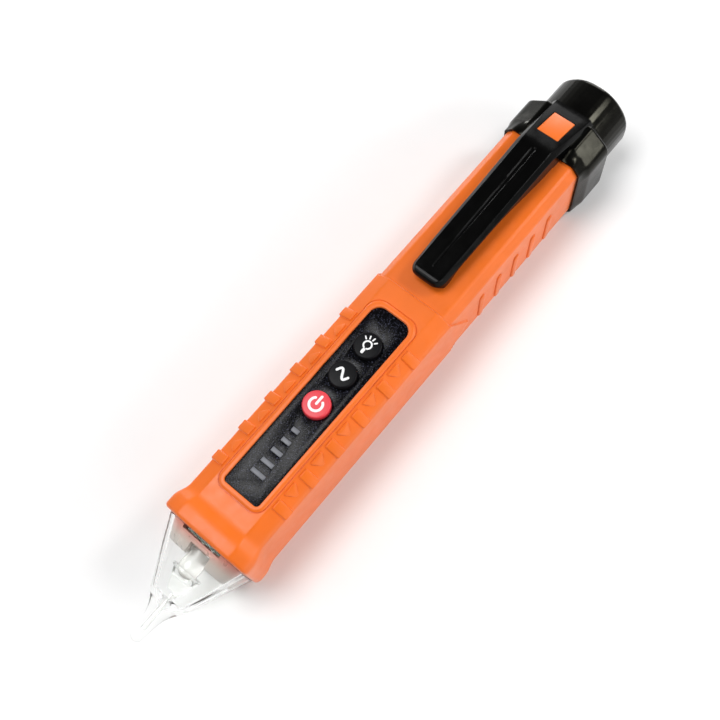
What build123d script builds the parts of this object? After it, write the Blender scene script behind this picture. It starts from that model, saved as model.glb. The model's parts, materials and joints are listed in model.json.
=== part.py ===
from build123d import *
import math
import os

# A pen-shaped non-contact voltage tester, lying on its back with its button panel up.
# Sizes are millimetres. Places along the pen, called s, run from the probe tip (s = 0) to the
# end of the battery cap (s = LENGTH). y runs across the pen and z up from the rest plane.
# The export moves the middle of the pen to x = 0.

# Whole pen
LENGTH = 157.0
AXIS_Z = 9.5  # axis of the nose, the cells and the end barrel
FACE_Z = 20.2  # plane of the button panel
WALL = 1.5
SPLIT_Z = 3.2  # parting plane between the deep front shell and the back cover
SLIDE_GAP = 0.15  # room between pieces that slide past each other

# Nose lens and what shows through it
TIP_R = 1.4  # the tip pin's radius at its round end
TIP_ROOT_R = 2.3
TIP_ROUND = 0.9
TIP_END = 8.2
SHOULDER_ROOT_R = 2.6
SHOULDER_S = 10.5
SHOULDER_R = 4.5
LENS_WALL = 1.2
LENS_BASE_HALF = 10.3
LENS_SQUARING = 2.2  # how much less round its corners are at the flange
LENS_BASE_Z = (1.6, 20.3)  # lowest and highest points at the flange
NECK_START = 19.8  # front of the lens's thick base ring
MOUTH_FRONT = (5.7, 5.1, 10.5, 4.2)  # opening: half-width, half-height, centre height, corner
MOUTH_BACK = (7.7, 6.8, 10.9, 5.0)
ANTENNA_R = 0.4
ANTENNA_START = 3.0
ANTENNA_END = 11.7
WIRE_END = 28.0
WIRE_Z = (6.9, 7.5)
WIRE_HALF = 0.3
LED_R = 2.4
LED_Z = 12.4
LED_FRONT = 15.6
LED_BACK = 21.9
LED_RIM = (0.35, 0.9)  # how far it stands out, and its length
LEAD_Y = 1.27
LEAD_HALF = 0.25
LEAD_END = 25.0
GUIDE_START = 12.2
GUIDE_END = 17.2
GUIDE_Z = (9.7, 12.0)  # centre at each end
GUIDE_R = (1.6, 3.2)
GUIDE_RIM_R = (3.0, 3.5)
GUIDE_RIM_LENGTH = 0.8
GUIDE_POCKET_R = 2.6

# Housing
FLANGE_START = 24.0
FLANGE_END = 27.1
FLANGE_HALF = 11.1
FLANGE_TOP = 21.1
FLANGE_TOP_CUT = (4.1, 2.2)
FLANGE_BACK_CUT = (4.2, 4.2)
FLANGE_EDGE = 0.6
BODY_START = 29.8
BODY_HALF = 10.0
BODY_BACK_Z = 1.0
TOP_CUT = (3.6, 1.9)  # sloped corner: across, down
BACK_CUT = (2.2, 2.2)
CORNER_ROUND = 0.9
STEP_TOP_S = 89.6  # end of the wide front body on top
STEP_SIDE_S = 96.4  # end of its arrow point on each flank
STEP_SIDE_Z = 8.6
REAR_HALF = 9.6
REAR_TOP = 19.6
REAR_CUT = (1.8, 2.1)
BODY_END = 137.0
SPIGOT_END = 146.0
SPIGOT = (8.2, 7.6)  # half-width and half-height of the battery spigot
SPIGOT_INSIDE = (6.85, 6.3)
SPIGOT_ROUND = 3.0

# Grip ribs on the sloped corners, the wedges between them, and the flank bars
RIB_COUNT = 6
RIB_FIRST = 38.2
RIB_PITCH = 8.0
RIB_WIDTH = 2.55
RIB_RAISE = 0.4
WEDGE_BASE = 3.6
WEDGE_RAISE = 0.22
WEDGE_TIP = 0.7
WEDGE_REACH = 0.64  # share of the slope that a wedge covers
SINK = 0.5  # depth that raised details are sunk, so that they join
BAR_COUNT = 5
BAR_FIRST = 101.0
BAR_PITCH = 6.1
BAR_WIDTH = 1.8
BAR_RAISE = 0.4
BAR_LOW_Z = 3.9
BAR_HIGH_Z = 13.2
BAR_SLANT = 3.0  # degrees

# Button panel
PANEL_START = 35.1
PANEL_END = 83.6
PANEL_HALF = (4.65, 4.9)  # at the front and at the rear
PANEL_ROUND = (0.8, 2.5)
PANEL_THICK = 0.8
BEAD_WIDTH = 1.3
BEAD_RAISE = 0.4
BEAD_EDGE = 0.25
SIGNAL_S = [40.5 + 2.83 * i for i in range(5)]
SIGNAL_LENGTH = [3.54 - 0.435 * i for i in range(5)]
SIGNAL_WIDTH = 1.0
SIGNAL_LED = (0.4, 0.8, 0.7)  # half-length, half-width, height
RUNNER_HALF = 0.8
RUNNER_Z = (17.6, 18.5)

# Buttons and their switches
BUTTONS = {"power": 58.5, "sensitivity": 66.7, "lamp": 74.7}
BUTTON_R = 3.0
BUTTON_RAISE = 1.4
BUTTON_EDGE = 0.45
BUTTON_GAP = 0.1
BUTTON_FLANGE_R = 3.6
BUTTON_FLANGE_Z = (17.95, 18.55)
PLUNGER_R = 0.8
PLUNGER_LOW = 17.1
SWITCH_HALF = (2.3, 1.8)
SWITCH_TOP = 17.4
LEG = (0.5, 0.3, 0.4)

# Circuit board
BOARD_LOW = 15.8
BOARD_TOP = 16.6
BOARD_START = 23.5
BOARD_END = 87.5
BOARD_HALF = 7.0
BOARD_NECK_HALF = 4.8
BOARD_NECK_END = 31.0
SCREW_PLACES = [(31.5, 0.0), (85.0, 5.0), (85.0, -5.0)]
SCREW_R = 0.7
SCREW_TIP = 18.2
SCREW_HEAD_R = 1.4
SCREW_HEAD = 1.0
SCREW_SLOT = (1.0, 0.2, 0.5)  # half-length, half-width, depth
POST_R = 1.5
POST_TOP = 18.9
BUZZER_S = 41.0
BUZZER_R = 5.8
BUZZER_HEIGHT = 5.2
SOUND_HOLE_R = 1.0

# Battery compartment: two AAA cells in line
TUBE_START = 55.5
TUBE_IN_R = 5.4
TUBE_OUT_R = 6.2
TUBE_WALL_END = 56.5  # back of the tube's closed end
TAIL_R = 0.7
TAIL_START = 53.6
CONTACT_R = 4.6
CONTACT_THICK = 0.4
CONTACT_DOME_R = 1.6
CELL_R = 5.25
CELL_LENGTH = 44.5
CELL_EDGE = 0.5
CELLS_START = 58.0
CELLS_END = CELLS_START + 2 * CELL_LENGTH
NUB_R = 2.75
NUB_LENGTH = 1.0
STRIP_Y = 6.5
STRIP_THICK = 0.25
STRIP_START = 54.6
STRIP_TAB = 2.0
STRIP_HALF = 1.5
SADDLE_HALF = 6.0
SADDLE_TOP = 6.0
SADDLE_WIDTH = 1.2
SADDLES = (62.0, 90.0, 118.0)  # ribs of the back cover that carry the tube

# Battery cap, its latch and the pocket clip
COLLAR_START = 134.9
COLLAR_FULL = 138.2
COLLAR_END = 145.2
COLLAR_HALF = 11.1
COLLAR_TOP = 21.0
COLLAR_CUT = (3.6, 3.6)
COLLAR_BACK_CUT = (3.2, 3.2)
LIP_WALL = 0.45
BARREL_START = 147.2
BARREL_R = 9.5
BARREL_EDGE = 1.5
BARREL_FACET = (4.6, 4.6)  # corner cut where the collar runs into the barrel
BARREL_FACET_ROUND = 3.6
COLLAR_ROUND = 2.6
CAP_SPACE_R = 7.0
SPRING_R = 3.6
SPRING_TURNS = 3.5
SPRING_WIRE_R = 0.35
CAP_FLOOR = 153.0  # inner end face behind the contact plate
BOSS_START = 132.0
BOSS_END = 146.5
BOSS_HALF = 4.7
BOSS_HIGH = 25.0
BOSS_LOW = 21.2
BOSS_FOOT = 17.0
BOSS_SKIN = 1.3
BOSS_CHAMFER = 0.8
TUNNEL_HALF = 3.3
TUNNEL_LOW = 16.6
LATCH_START = 136.0
LATCH_END = 142.9
LATCH_HALF = 2.75
LATCH_HEAD_LOW = 19.0
WINDOW_GAP = 0.1
LATCH_ROOT = 126.0
LATCH_ARM_HALF = 3.0
LATCH_ARM_Z = (18.4, 19.4)
LATCH_SLOT_LOW = 16.2
CLIP_START = 93.0
CLIP_END = BOSS_START - 0.1
CLIP_HALF = (4.1, 4.7)
CLIP_TOP = (23.5, 25.0)
CLIP_THICK = 1.9
CLIP_TOE_Z = 20.1
CLIP_FRONT_HALF = 2.5
CLIP_FRONT_TAPER = 1.8
CLIP_NOSE = 2.0  # how far its rounded front leans back
CLIP_TOE_END = 3.5
SKIRT_START = 112.0
SKIRT_LOW = 20.2
SKIRT_THICK = 1.1


def octagon(half_width, low_z, high_z, low_cut, high_cut, rounding):
    """Cross-section of the pen: flat top, back and flanks, sloped and rounded corners."""
    right = [
        (half_width - low_cut[0], low_z),
        (half_width, low_z + low_cut[1]),
        (half_width, high_z - high_cut[1]),
        (half_width - high_cut[0], high_z),
    ]
    left = [(-y, z) for y, z in reversed(right)]
    outline = make_face(Polyline(*right, *left, close=True))
    return fillet(outline.vertices(), rounding)


def rounded_box(half_width, half_height, centre_z, corner):
    """Cross-section of the pen: a rectangle with round corners."""
    return Pos(0, centre_z) * RectangleRounded(2 * half_width, 2 * half_height, corner)


def along(section, start, end):
    """Solid with one cross-section from s = start to s = end."""
    return extrude(Plane.YZ.offset(start) * section, amount=end - start, dir=(1, 0, 0))


def taper(first, start, second, end):
    """Solid that changes evenly from one cross-section to another."""
    return loft([Plane.YZ.offset(start) * first, Plane.YZ.offset(end) * second], ruled=True)


def shaft(radius, start, end, y=0.0, z=AXIS_Z):
    """Round bar along the pen."""
    return Pos(start, y, z) * Rot(0, 90, 0) * extrude(Circle(radius), amount=end - start)


def post(radius, s, y, low_z, high_z):
    """Round bar standing up across the pen."""
    return Pos(s, y, low_z) * extrude(Circle(radius), amount=high_z - low_z)


def block(start, end, low_y, high_y, low_z, high_z):
    """Rectangular solid between two corners."""
    centre = Pos((start + end) / 2, (low_y + high_y) / 2, (low_z + high_z) / 2)
    return centre * Box(end - start, high_y - low_y, high_z - low_z)


def side_slab(points, low_y, high_y):
    """Solid with a given outline in side view, from y = low_y to y = high_y."""
    outline = make_face(Polyline(*[(s, low_y, z) for s, z in points], close=True))
    return extrude(outline, amount=high_y - low_y, dir=(0, 1, 0))


def plan_slab(points, low_z, high_z):
    """Solid with a given outline seen from above."""
    outline = make_face(Polyline(*[(s, y, low_z) for s, y in points], close=True))
    return extrude(outline, amount=high_z - low_z, dir=(0, 0, 1))


def flange_section(inset=0.0):
    """Outline of the wide flange behind the lens, or the same moved inwards all round."""
    half, high = FLANGE_HALF - inset, FLANGE_TOP - inset
    return octagon(half, inset, high, FLANGE_BACK_CUT, FLANGE_TOP_CUT, CORNER_ROUND)


def body_section(inset=0.0):
    """Front body outline, or the same moved inwards all round."""
    return octagon(BODY_HALF - inset, BODY_BACK_Z + inset, FACE_Z - inset, BACK_CUT, TOP_CUT, CORNER_ROUND)


def rear_section(outset=0.0):
    """Rear body outline, or the same moved outwards all round."""
    half, low, high = REAR_HALF + outset, BODY_BACK_Z - outset, REAR_TOP + outset
    return octagon(half, low, high, BACK_CUT, REAR_CUT, CORNER_ROUND)


def lens_section(s, inset=0.0):
    """Nose outline: nearly round at the shoulder, a rounded square at the flange."""
    part = (s - SHOULDER_S) / (FLANGE_START - SHOULDER_S)
    half_width = SHOULDER_R + part * (LENS_BASE_HALF - SHOULDER_R) - inset
    low = AXIS_Z - SHOULDER_R + part * (LENS_BASE_Z[0] - AXIS_Z + SHOULDER_R) + inset
    high = AXIS_Z + SHOULDER_R + part * (LENS_BASE_Z[1] - AXIS_Z - SHOULDER_R) - inset
    corner = min(half_width, (high - low) / 2) - 0.1 - part * LENS_SQUARING
    return rounded_box(half_width, (high - low) / 2, (high + low) / 2, corner)


def nose_lens():
    """Clear cone with a round tip pin, hollow behind its shoulder."""
    tip = taper(Pos(0, AXIS_Z) * Circle(TIP_R), 0, Pos(0, AXIS_Z) * Circle(TIP_ROOT_R), TIP_END + 0.6)
    tip = fillet(tip.edges().sort_by(Axis.X)[0], TIP_ROUND)
    stand = (Align.CENTER, Align.CENTER, Align.MIN)
    shoulder = Cone(SHOULDER_ROOT_R, SHOULDER_R - 0.02, SHOULDER_S - TIP_END, align=stand)
    shoulder = Pos(TIP_END, 0, AXIS_Z) * Rot(0, 90, 0) * shoulder
    cone = taper(lens_section(SHOULDER_S), SHOULDER_S, lens_section(FLANGE_START), FLANGE_START)
    inside_start = SHOULDER_S + 0.4
    front, back = lens_section(inside_start, LENS_WALL), lens_section(NECK_START, LENS_WALL)
    hollow = taper(front, inside_start, back, NECK_START)
    mouth = taper(mouth_section(NECK_START), NECK_START, mouth_section(FLANGE_START), FLANGE_START)
    pin_bore = shaft(ANTENNA_R + 0.05, ANTENNA_START, inside_start + 0.2)
    return tip + shoulder + cone - hollow - mouth - pin_bore


def light_guide():
    """Skewed clear funnel that takes the light of the nose LED to the tip."""
    rim_start = GUIDE_END - GUIDE_RIM_LENGTH
    ring = shaft(GUIDE_RIM_R[1], rim_start, GUIDE_END, z=GUIDE_Z[1])
    ring -= shaft(GUIDE_RIM_R[0], rim_start - 1, GUIDE_END + 1, z=GUIDE_Z[1])
    front, back = Pos(0, GUIDE_Z[0]) * Circle(GUIDE_R[0]), Pos(0, GUIDE_Z[1]) * Circle(GUIDE_R[1])
    funnel = taper(front, GUIDE_START, back, GUIDE_END)
    return funnel - shaft(GUIDE_POCKET_R, LED_FRONT - 0.2, GUIDE_END + 0.1, z=LED_Z) + ring


def nose_led():
    """Clear lamp with a domed front and a base rim."""
    dome_s = LED_FRONT + LED_R
    dome = Pos(dome_s, 0, LED_Z) * Sphere(LED_R)
    barrel = shaft(LED_R, dome_s, LED_BACK, z=LED_Z)
    rim = shaft(LED_R + LED_RIM[0], LED_BACK - LED_RIM[1], LED_BACK, z=LED_Z)
    return dome + barrel + rim


def led_leads():
    """Two square wires from the lamp's base, bent up to the circuit board."""
    wires = []
    for y in (-LEAD_Y, LEAD_Y):
        low_y, high_y = y - LEAD_HALF, y + LEAD_HALF
        flat = block(LED_BACK, LEAD_END, low_y, high_y, LED_Z - LEAD_HALF, LED_Z + LEAD_HALF)
        rise = block(LEAD_END - 2 * LEAD_HALF, LEAD_END, low_y, high_y, LED_Z, BOARD_LOW)
        wires.append(flat + rise)
    return wires


def sense_antenna():
    """Metal pin in the tip and the wire that joins it to the circuit board."""
    low, high = WIRE_Z
    drop_start, rise_start = ANTENNA_END - 2 * WIRE_HALF, WIRE_END - 2 * WIRE_HALF
    pin = shaft(ANTENNA_R, ANTENNA_START, ANTENNA_END)
    drop = block(drop_start, ANTENNA_END, -WIRE_HALF, WIRE_HALF, low, AXIS_Z + WIRE_HALF)
    wire = block(drop_start, WIRE_END, -WIRE_HALF, WIRE_HALF, low, high)
    rise = block(rise_start, WIRE_END, -WIRE_HALF, WIRE_HALF, low, BOARD_LOW)
    return pin + drop + wire + rise


def panel_outline(outset, low_z, high_z):
    """Prism of the panel's outline: narrower at the front, rounder corners at the rear."""
    start, end = PANEL_START - outset, PANEL_END + outset
    front, rear = PANEL_HALF[0] + outset, PANEL_HALF[1] + outset
    slab = plan_slab([(start, -front), (end, -rear), (end, rear), (start, front)], low_z, high_z)
    upright = slab.edges().filter_by(Axis.Z)
    slab = fillet(upright.group_by(Axis.X)[0], PANEL_ROUND[0] + outset)
    upright = slab.edges().filter_by(Axis.Z)
    return fillet(upright.group_by(Axis.X)[-1], PANEL_ROUND[1] + outset * 0.4)


def signal_bars_at(gap, low_z, high_z):
    """The row of five light bars, each shorter than the one before."""
    bars = []
    for s, length in zip(SIGNAL_S, SIGNAL_LENGTH):
        half = SIGNAL_WIDTH / 2 + gap
        bars.append(block(s - half, s + half, -length / 2 - gap, length / 2 + gap, low_z, high_z))
    return bars


def chamfer_plane(s, side):
    """Plane on a sloped top corner: x along the pen, y down the slope, z outwards."""
    across, down = TOP_CUT
    slant = math.hypot(across, down)
    outwards = (0, side * down / slant, across / slant)
    inner_edge = (s, side * (BODY_HALF - across), FACE_Z)
    return Plane(origin=inner_edge, x_dir=(1, 0, 0), z_dir=outwards)


def grip_pattern(side):
    """Raised ribs over one sloped corner, with shallow wedges between them."""
    slant = math.hypot(*TOP_CUT)
    pieces = []
    for i in range(RIB_COUNT):
        s = RIB_FIRST + RIB_PITCH * i
        plane = chamfer_plane(s, side)
        down = side  # the plane's y axis points down the slope on one side and up it on the other
        middle = down * (slant + SINK) / 2
        rib = Pos(0, middle, (RIB_RAISE - SINK) / 2) * Box(RIB_WIDTH, slant - SINK, RIB_RAISE + SINK)
        pieces.append(plane * rib)
        if i + 1 < RIB_COUNT:
            wedge_plane = chamfer_plane(s + RIB_PITCH / 2, side)
            half, tip, reach = WEDGE_BASE / 2, WEDGE_TIP / 2, WEDGE_REACH * slant
            corners = [(-half, SINK), (half, SINK), (tip, reach), (-tip, reach)]
            outline = make_face(Polyline(*[(x, down * y) for x, y in corners], close=True))
            wedge = extrude(Pos(0, 0, -SINK) * outline, amount=WEDGE_RAISE + SINK, dir=(0, 0, 1))
            pieces.append(wedge_plane * wedge)
    return pieces


def flank_bars(side):
    """Five upright bars with round ends on one flank of the rear body."""
    pieces = []
    for i in range(BAR_COUNT):
        tall = SlotOverall(BAR_HIGH_Z - BAR_LOW_Z, BAR_WIDTH)
        face = Plane.XZ * (Rot(0, 0, 90 - BAR_SLANT) * tall)
        centre = Pos(BAR_FIRST + BAR_PITCH * i, side * (REAR_HALF - SINK), (BAR_LOW_Z + BAR_HIGH_Z) / 2)
        pieces.append(centre * extrude(face, amount=SINK + BAR_RAISE, dir=(0, side, 0)))
    return pieces


def housing_outside():
    """Everything inside the housing's outer surface, before it is hollowed."""
    flange = flange_section()
    solid = taper(flange_section(FLANGE_EDGE), FLANGE_START, flange, FLANGE_START + FLANGE_EDGE)
    solid += along(flange, FLANGE_START + FLANGE_EDGE, FLANGE_END)
    solid += taper(flange, FLANGE_END, body_section(), BODY_START)
    front = along(body_section(), BODY_START, STEP_SIDE_S + 0.5)
    arrow = [
        (BODY_START - 1, -1),
        (STEP_TOP_S, -1),
        (STEP_TOP_S, BODY_BACK_Z + BACK_CUT[1]),
        (STEP_SIDE_S, STEP_SIDE_Z),
        (STEP_TOP_S, FACE_Z - TOP_CUT[1]),
        (STEP_TOP_S, 22),
        (BODY_START - 1, 22),
    ]
    solid += front & side_slab(arrow, -15, 15)
    solid += along(rear_section(), STEP_TOP_S - 4, BODY_END)
    solid += along(rounded_box(*SPIGOT, AXIS_Z, SPIGOT_ROUND), BODY_END - 2, SPIGOT_END)
    return solid


def mouth_section(s):
    """Opening through the lens's thick base ring and the flange."""
    if s <= NECK_START:
        return rounded_box(*MOUTH_FRONT)
    return rounded_box(*MOUTH_BACK)


def housing_cavity():
    """The space inside the housing, open at both ends."""
    cavity = along(mouth_section(FLANGE_START), FLANGE_START - 1, BODY_START + 0.5)
    cavity += along(body_section(WALL), BODY_START, BOARD_END + 0.5)
    cavity += along(rear_section(-WALL), BOARD_END, BODY_END - WALL)
    cavity += along(rounded_box(*SPIGOT_INSIDE, AXIS_Z, 2.0), BODY_END - 3, SPIGOT_END + 1)
    return cavity


def latch_slot():
    """Slot in the rear top wall that the latch tongue bends in."""
    half = LATCH_ARM_HALF + 0.2
    return block(LATCH_ROOT - 0.3, SPIGOT_END + 1, -half, half, LATCH_SLOT_LOW, REAR_TOP + 1)


def front_shell():
    """Deep orange shell with the grip ribs, the panel recess and the button holes."""
    solid = housing_outside()
    for side in (-1, 1):
        for piece in grip_pattern(side) + flank_bars(side):
            solid += piece
    bead = panel_outline(BEAD_WIDTH, FACE_Z - SINK, FACE_Z + BEAD_RAISE)
    solid += chamfer(bead.faces().sort_by(Axis.Z)[-1].edges(), BEAD_EDGE)
    solid -= housing_cavity()
    solid -= panel_outline(0.0, FACE_Z - PANEL_THICK, FACE_Z + 2)
    for s, y in SCREW_PLACES:
        solid += post(POST_R, s, y, BOARD_TOP, POST_TOP)
        solid -= post(SCREW_R, s, y, BOARD_TOP - 1, SCREW_TIP + 0.2)
    for s in BUTTONS.values():
        solid -= post(BUTTON_R + BUTTON_GAP, s, 0, 17, FACE_Z)
    for hole in signal_bars_at(0.05, 17, FACE_Z):
        solid -= hole
    solid -= latch_slot()
    return solid & block(-1, LENGTH, -15, 15, SPLIT_Z, 30)


def back_shell():
    """Shallow back cover with saddles that carry the battery tube."""
    cavity = housing_cavity()
    solid = (housing_outside() - cavity) & block(-1, LENGTH, -15, 15, -1, SPLIT_Z)
    for s in SADDLES:
        saddle = block(s, s + SADDLE_WIDTH, -SADDLE_HALF, SADDLE_HALF, BODY_BACK_Z + 1, SADDLE_TOP) & cavity
        solid += saddle - shaft(TUBE_OUT_R + 0.02, s - 1, s + 3)
    return solid


def panel_overlay():
    """Black control panel, with holes for three buttons and five light bars."""
    panel = panel_outline(-0.03, FACE_Z - PANEL_THICK, FACE_Z)
    for s in BUTTONS.values():
        panel -= post(BUTTON_R + BUTTON_GAP, s, 0, 15, FACE_Z + 1)
    for hole in signal_bars_at(0.05, 15, FACE_Z + 1):
        panel -= hole
    return panel


def signal_bars():
    """Translucent light guide: five bars on one runner under the shell's top wall."""
    start, end = SIGNAL_S[0] - 0.6, SIGNAL_S[-1] + 0.6
    runner = block(start, end, -RUNNER_HALF, RUNNER_HALF, *RUNNER_Z)
    for bar in signal_bars_at(0.0, RUNNER_Z[0], FACE_Z):
        runner += bar
    return runner


def button(s):
    """Round button with a domed edge and a flange that keeps it under the shell."""
    cap = post(BUTTON_R, s, 0, BUTTON_FLANGE_Z[0], FACE_Z + BUTTON_RAISE)
    cap = fillet(cap.edges().sort_by(Axis.Z)[-1], BUTTON_EDGE)
    return cap + post(BUTTON_FLANGE_R, s, 0, *BUTTON_FLANGE_Z)


def plunger(s):
    """Pin of the tactile switch, which the button pushes down."""
    return post(PLUNGER_R, s, 0, PLUNGER_LOW, BUTTON_FLANGE_Z[0])


def switch_body(s):
    """Low tactile switch on the board, with four solder legs."""
    half_length, half_width = SWITCH_HALF
    leg_length, leg_width, leg_height = LEG
    body = block(s - half_length, s + half_length, -half_width, half_width, BOARD_TOP, SWITCH_TOP)
    for y in (-half_width - 0.1, half_width + 0.1 - leg_width):
        for leg_s in (s - half_length - 0.3, s + half_length + 0.3 - leg_length):
            body += block(leg_s, leg_s + leg_length, y, y + leg_width, BOARD_TOP, BOARD_TOP + leg_height)
    return body - post(PLUNGER_R + 0.08, s, 0, BOARD_TOP - 1, 18)


def main_board():
    """Circuit board, narrow where it passes through the front flange."""
    neck = BOARD_NECK_HALF
    board = block(BOARD_START, BOARD_NECK_END, -neck, neck, BOARD_LOW, BOARD_TOP)
    board += block(BOARD_NECK_END - 0.5, BOARD_END, -BOARD_HALF, BOARD_HALF, BOARD_LOW, BOARD_TOP)
    for s, y in SCREW_PLACES:
        board -= post(SCREW_R + 0.1, s, y, BOARD_LOW - 1, BOARD_TOP + 1)
    return board


def board_components():
    """Chips, capacitors and resistors soldered to both faces of the board."""
    parts = [block(48.0, 53.2, -2.2, 2.2, BOARD_LOW - 1.3, BOARD_LOW)]
    for s, y, size in [(29.0, 3.4, 1.2), (32.6, -5.2, 1.2), (47.0, 5.0, 1.6), (51.5, -5.2, 1.2)]:
        parts.append(block(s, s + size * 1.6, y - size / 2, y + size / 2, BOARD_LOW - 0.9, BOARD_LOW))
    for i in range(5):
        s = 62.0 + 4.2 * i
        parts.append(block(s, s + 1.6, 5.2, 6.0, BOARD_TOP, BOARD_TOP + 0.5))
        parts.append(block(s + 0.8, s + 2.4, -6.0, -5.2, BOARD_TOP, BOARD_TOP + 0.5))
    return parts


def board_screws():
    """Three pan-head screws that hold the board to the shell's posts."""
    screws = []
    for s, y in SCREW_PLACES:
        long, narrow, depth = SCREW_SLOT
        slot_low, slot_high = BOARD_LOW - 2 * SCREW_HEAD, BOARD_LOW - SCREW_HEAD + depth
        head = post(SCREW_HEAD_R, s, y, BOARD_LOW - SCREW_HEAD, BOARD_LOW)
        head -= block(s - long, s + long, y - narrow, y + narrow, slot_low, slot_high)
        head -= block(s - narrow, s + narrow, y - long, y + long, slot_low, slot_high)
        screws.append(head + post(SCREW_R - 0.02, s, y, BOARD_LOW - 0.1, SCREW_TIP))
    return screws


def signal_leds():
    """Five small lamps on the board, one under each light bar."""
    half_length, half_width, height = SIGNAL_LED
    return [
        block(s - half_length, s + half_length, -half_width, half_width, BOARD_TOP, BOARD_TOP + height)
        for s in SIGNAL_S
    ]


def buzzer():
    """Round sounder under the board, with its sound hole facing down."""
    low = BOARD_LOW - BUZZER_HEIGHT
    can = post(BUZZER_R, BUZZER_S, 0, low, BOARD_LOW)
    can = chamfer(can.edges().sort_by(Axis.Z)[0], 0.5)
    return can - post(SOUND_HOLE_R, BUZZER_S, 0, low - 1, low + 1)


def battery_tube():
    """Sleeve for the two cells, closed at the front around the contact's tail."""
    tube = shaft(TUBE_OUT_R, TUBE_START, SPIGOT_END - 0.2)
    tube -= shaft(TUBE_IN_R, TUBE_WALL_END, SPIGOT_END + 1)
    return tube - shaft(TAIL_R + 0.1, TUBE_START - 1, TUBE_WALL_END + 1)


def cell(start):
    """AAA cell, its raised positive end towards the probe tip."""
    can = shaft(CELL_R, start + NUB_LENGTH, start + CELL_LENGTH)
    can = fillet(can.edges(), CELL_EDGE)
    return can + shaft(NUB_R, start, start + NUB_LENGTH + 0.1)


def front_contact():
    """Sprung plate that meets the front cell, with a tail to the board."""
    plate = shaft(CONTACT_R, TUBE_WALL_END, TUBE_WALL_END + CONTACT_THICK)
    dome = shaft(CONTACT_DOME_R, TUBE_WALL_END + 0.3, CELLS_START)
    tail = shaft(TAIL_R, TAIL_START, TUBE_WALL_END + 0.2)
    rise = block(TAIL_START, TAIL_START + 0.8, -TAIL_R, TAIL_R, AXIS_Z - TAIL_R, BOARD_LOW)
    return plate + dome + tail + rise


def ground_strip():
    """Metal strip beside the tube, from the cap's contact plate to the board."""
    low_y, high_y = STRIP_Y, STRIP_Y + STRIP_THICK
    run = block(STRIP_START, SPIGOT_END - 0.1, low_y, high_y, AXIS_Z - STRIP_HALF, AXIS_Z + STRIP_HALF)
    rise = block(STRIP_START, STRIP_START + STRIP_TAB, low_y, high_y, AXIS_Z, BOARD_LOW)
    return run + rise


def boss_top(s):
    """Height of the boss's sloped top."""
    return BOSS_HIGH + (s - BOSS_START) * (BOSS_LOW - BOSS_HIGH) / (BOSS_END - BOSS_START)


def cap_latch():
    """Springy orange tongue whose square head shows in the window of the cap."""
    arm = block(LATCH_ROOT, LATCH_END, -LATCH_ARM_HALF, LATCH_ARM_HALF, *LATCH_ARM_Z)
    head_outline = [
        (LATCH_START, LATCH_HEAD_LOW),
        (LATCH_END, LATCH_HEAD_LOW),
        (LATCH_END, boss_top(LATCH_END)),
        (LATCH_START, boss_top(LATCH_START)),
    ]
    return arm + side_slab(head_outline, -LATCH_HALF, LATCH_HALF)


def boss_solid():
    """Ridge on the cap that slopes down from the clip's root to the end barrel."""
    outline = [
        (BOSS_START, REAR_TOP + 0.3),
        (BOSS_START, BOSS_HIGH),
        (BOSS_END, BOSS_LOW),
        (BOSS_END, BOSS_FOOT),
        (COLLAR_FULL, BOSS_FOOT),
    ]
    boss = side_slab(outline, -BOSS_HALF, BOSS_HALF)
    top = boss.faces().filter_by(lambda face: face.normal_at().Z > 0.9)
    return chamfer(top.edges().group_by(SortBy.LENGTH)[-1], BOSS_CHAMFER)


def cap_outside():
    """Collar, end barrel and sloped boss of the battery cap, before they are hollowed."""
    lip = rear_section(SLIDE_GAP + LIP_WALL)
    full = octagon(COLLAR_HALF, 0, COLLAR_TOP, COLLAR_BACK_CUT, COLLAR_CUT, COLLAR_ROUND)
    low, high = AXIS_Z - BARREL_R, AXIS_Z + BARREL_R
    back = octagon(BARREL_R, low, high, BARREL_FACET, BARREL_FACET, BARREL_FACET_ROUND)
    solid = taper(lip, COLLAR_START, full, COLLAR_FULL)
    solid += along(full, COLLAR_FULL, COLLAR_END)
    solid += taper(full, COLLAR_END, back, BARREL_START)
    barrel = shaft(BARREL_R, BARREL_START - 1, LENGTH)
    solid += fillet(barrel.edges().sort_by(Axis.X)[-1], BARREL_EDGE)
    return solid + boss_solid()


def battery_cap():
    """Black cap that slides onto the spigot, with a window for the latch's head."""
    sleeve = rounded_box(SPIGOT[0] + SLIDE_GAP, SPIGOT[1] + SLIDE_GAP, AXIS_Z, SPIGOT_ROUND)
    solid = cap_outside()
    solid -= along(rear_section(SLIDE_GAP), BOSS_START - 1, BODY_END + 0.3)
    solid -= along(sleeve, BODY_END, BARREL_START)
    solid -= shaft(CAP_SPACE_R, BARREL_START - 1, CAP_FLOOR)
    tunnel_start, tunnel_end = BOSS_START - 1, LATCH_END + 0.6
    tunnel = [
        (tunnel_start, TUNNEL_LOW),
        (tunnel_end, TUNNEL_LOW),
        (tunnel_end, boss_top(tunnel_end) - BOSS_SKIN),
        (tunnel_start, boss_top(tunnel_start) - BOSS_SKIN),
    ]
    solid -= side_slab(tunnel, -TUNNEL_HALF, TUNNEL_HALF)
    half = LATCH_HALF + WINDOW_GAP
    return solid - block(LATCH_START - WINDOW_GAP, LATCH_END + WINDOW_GAP, -half, half, 18, 27)


def cap_contact_plate():
    """Metal disc on the cap's floor."""
    return shaft(CAP_SPACE_R - 0.4, CAP_FLOOR - CONTACT_THICK, CAP_FLOOR)


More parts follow.
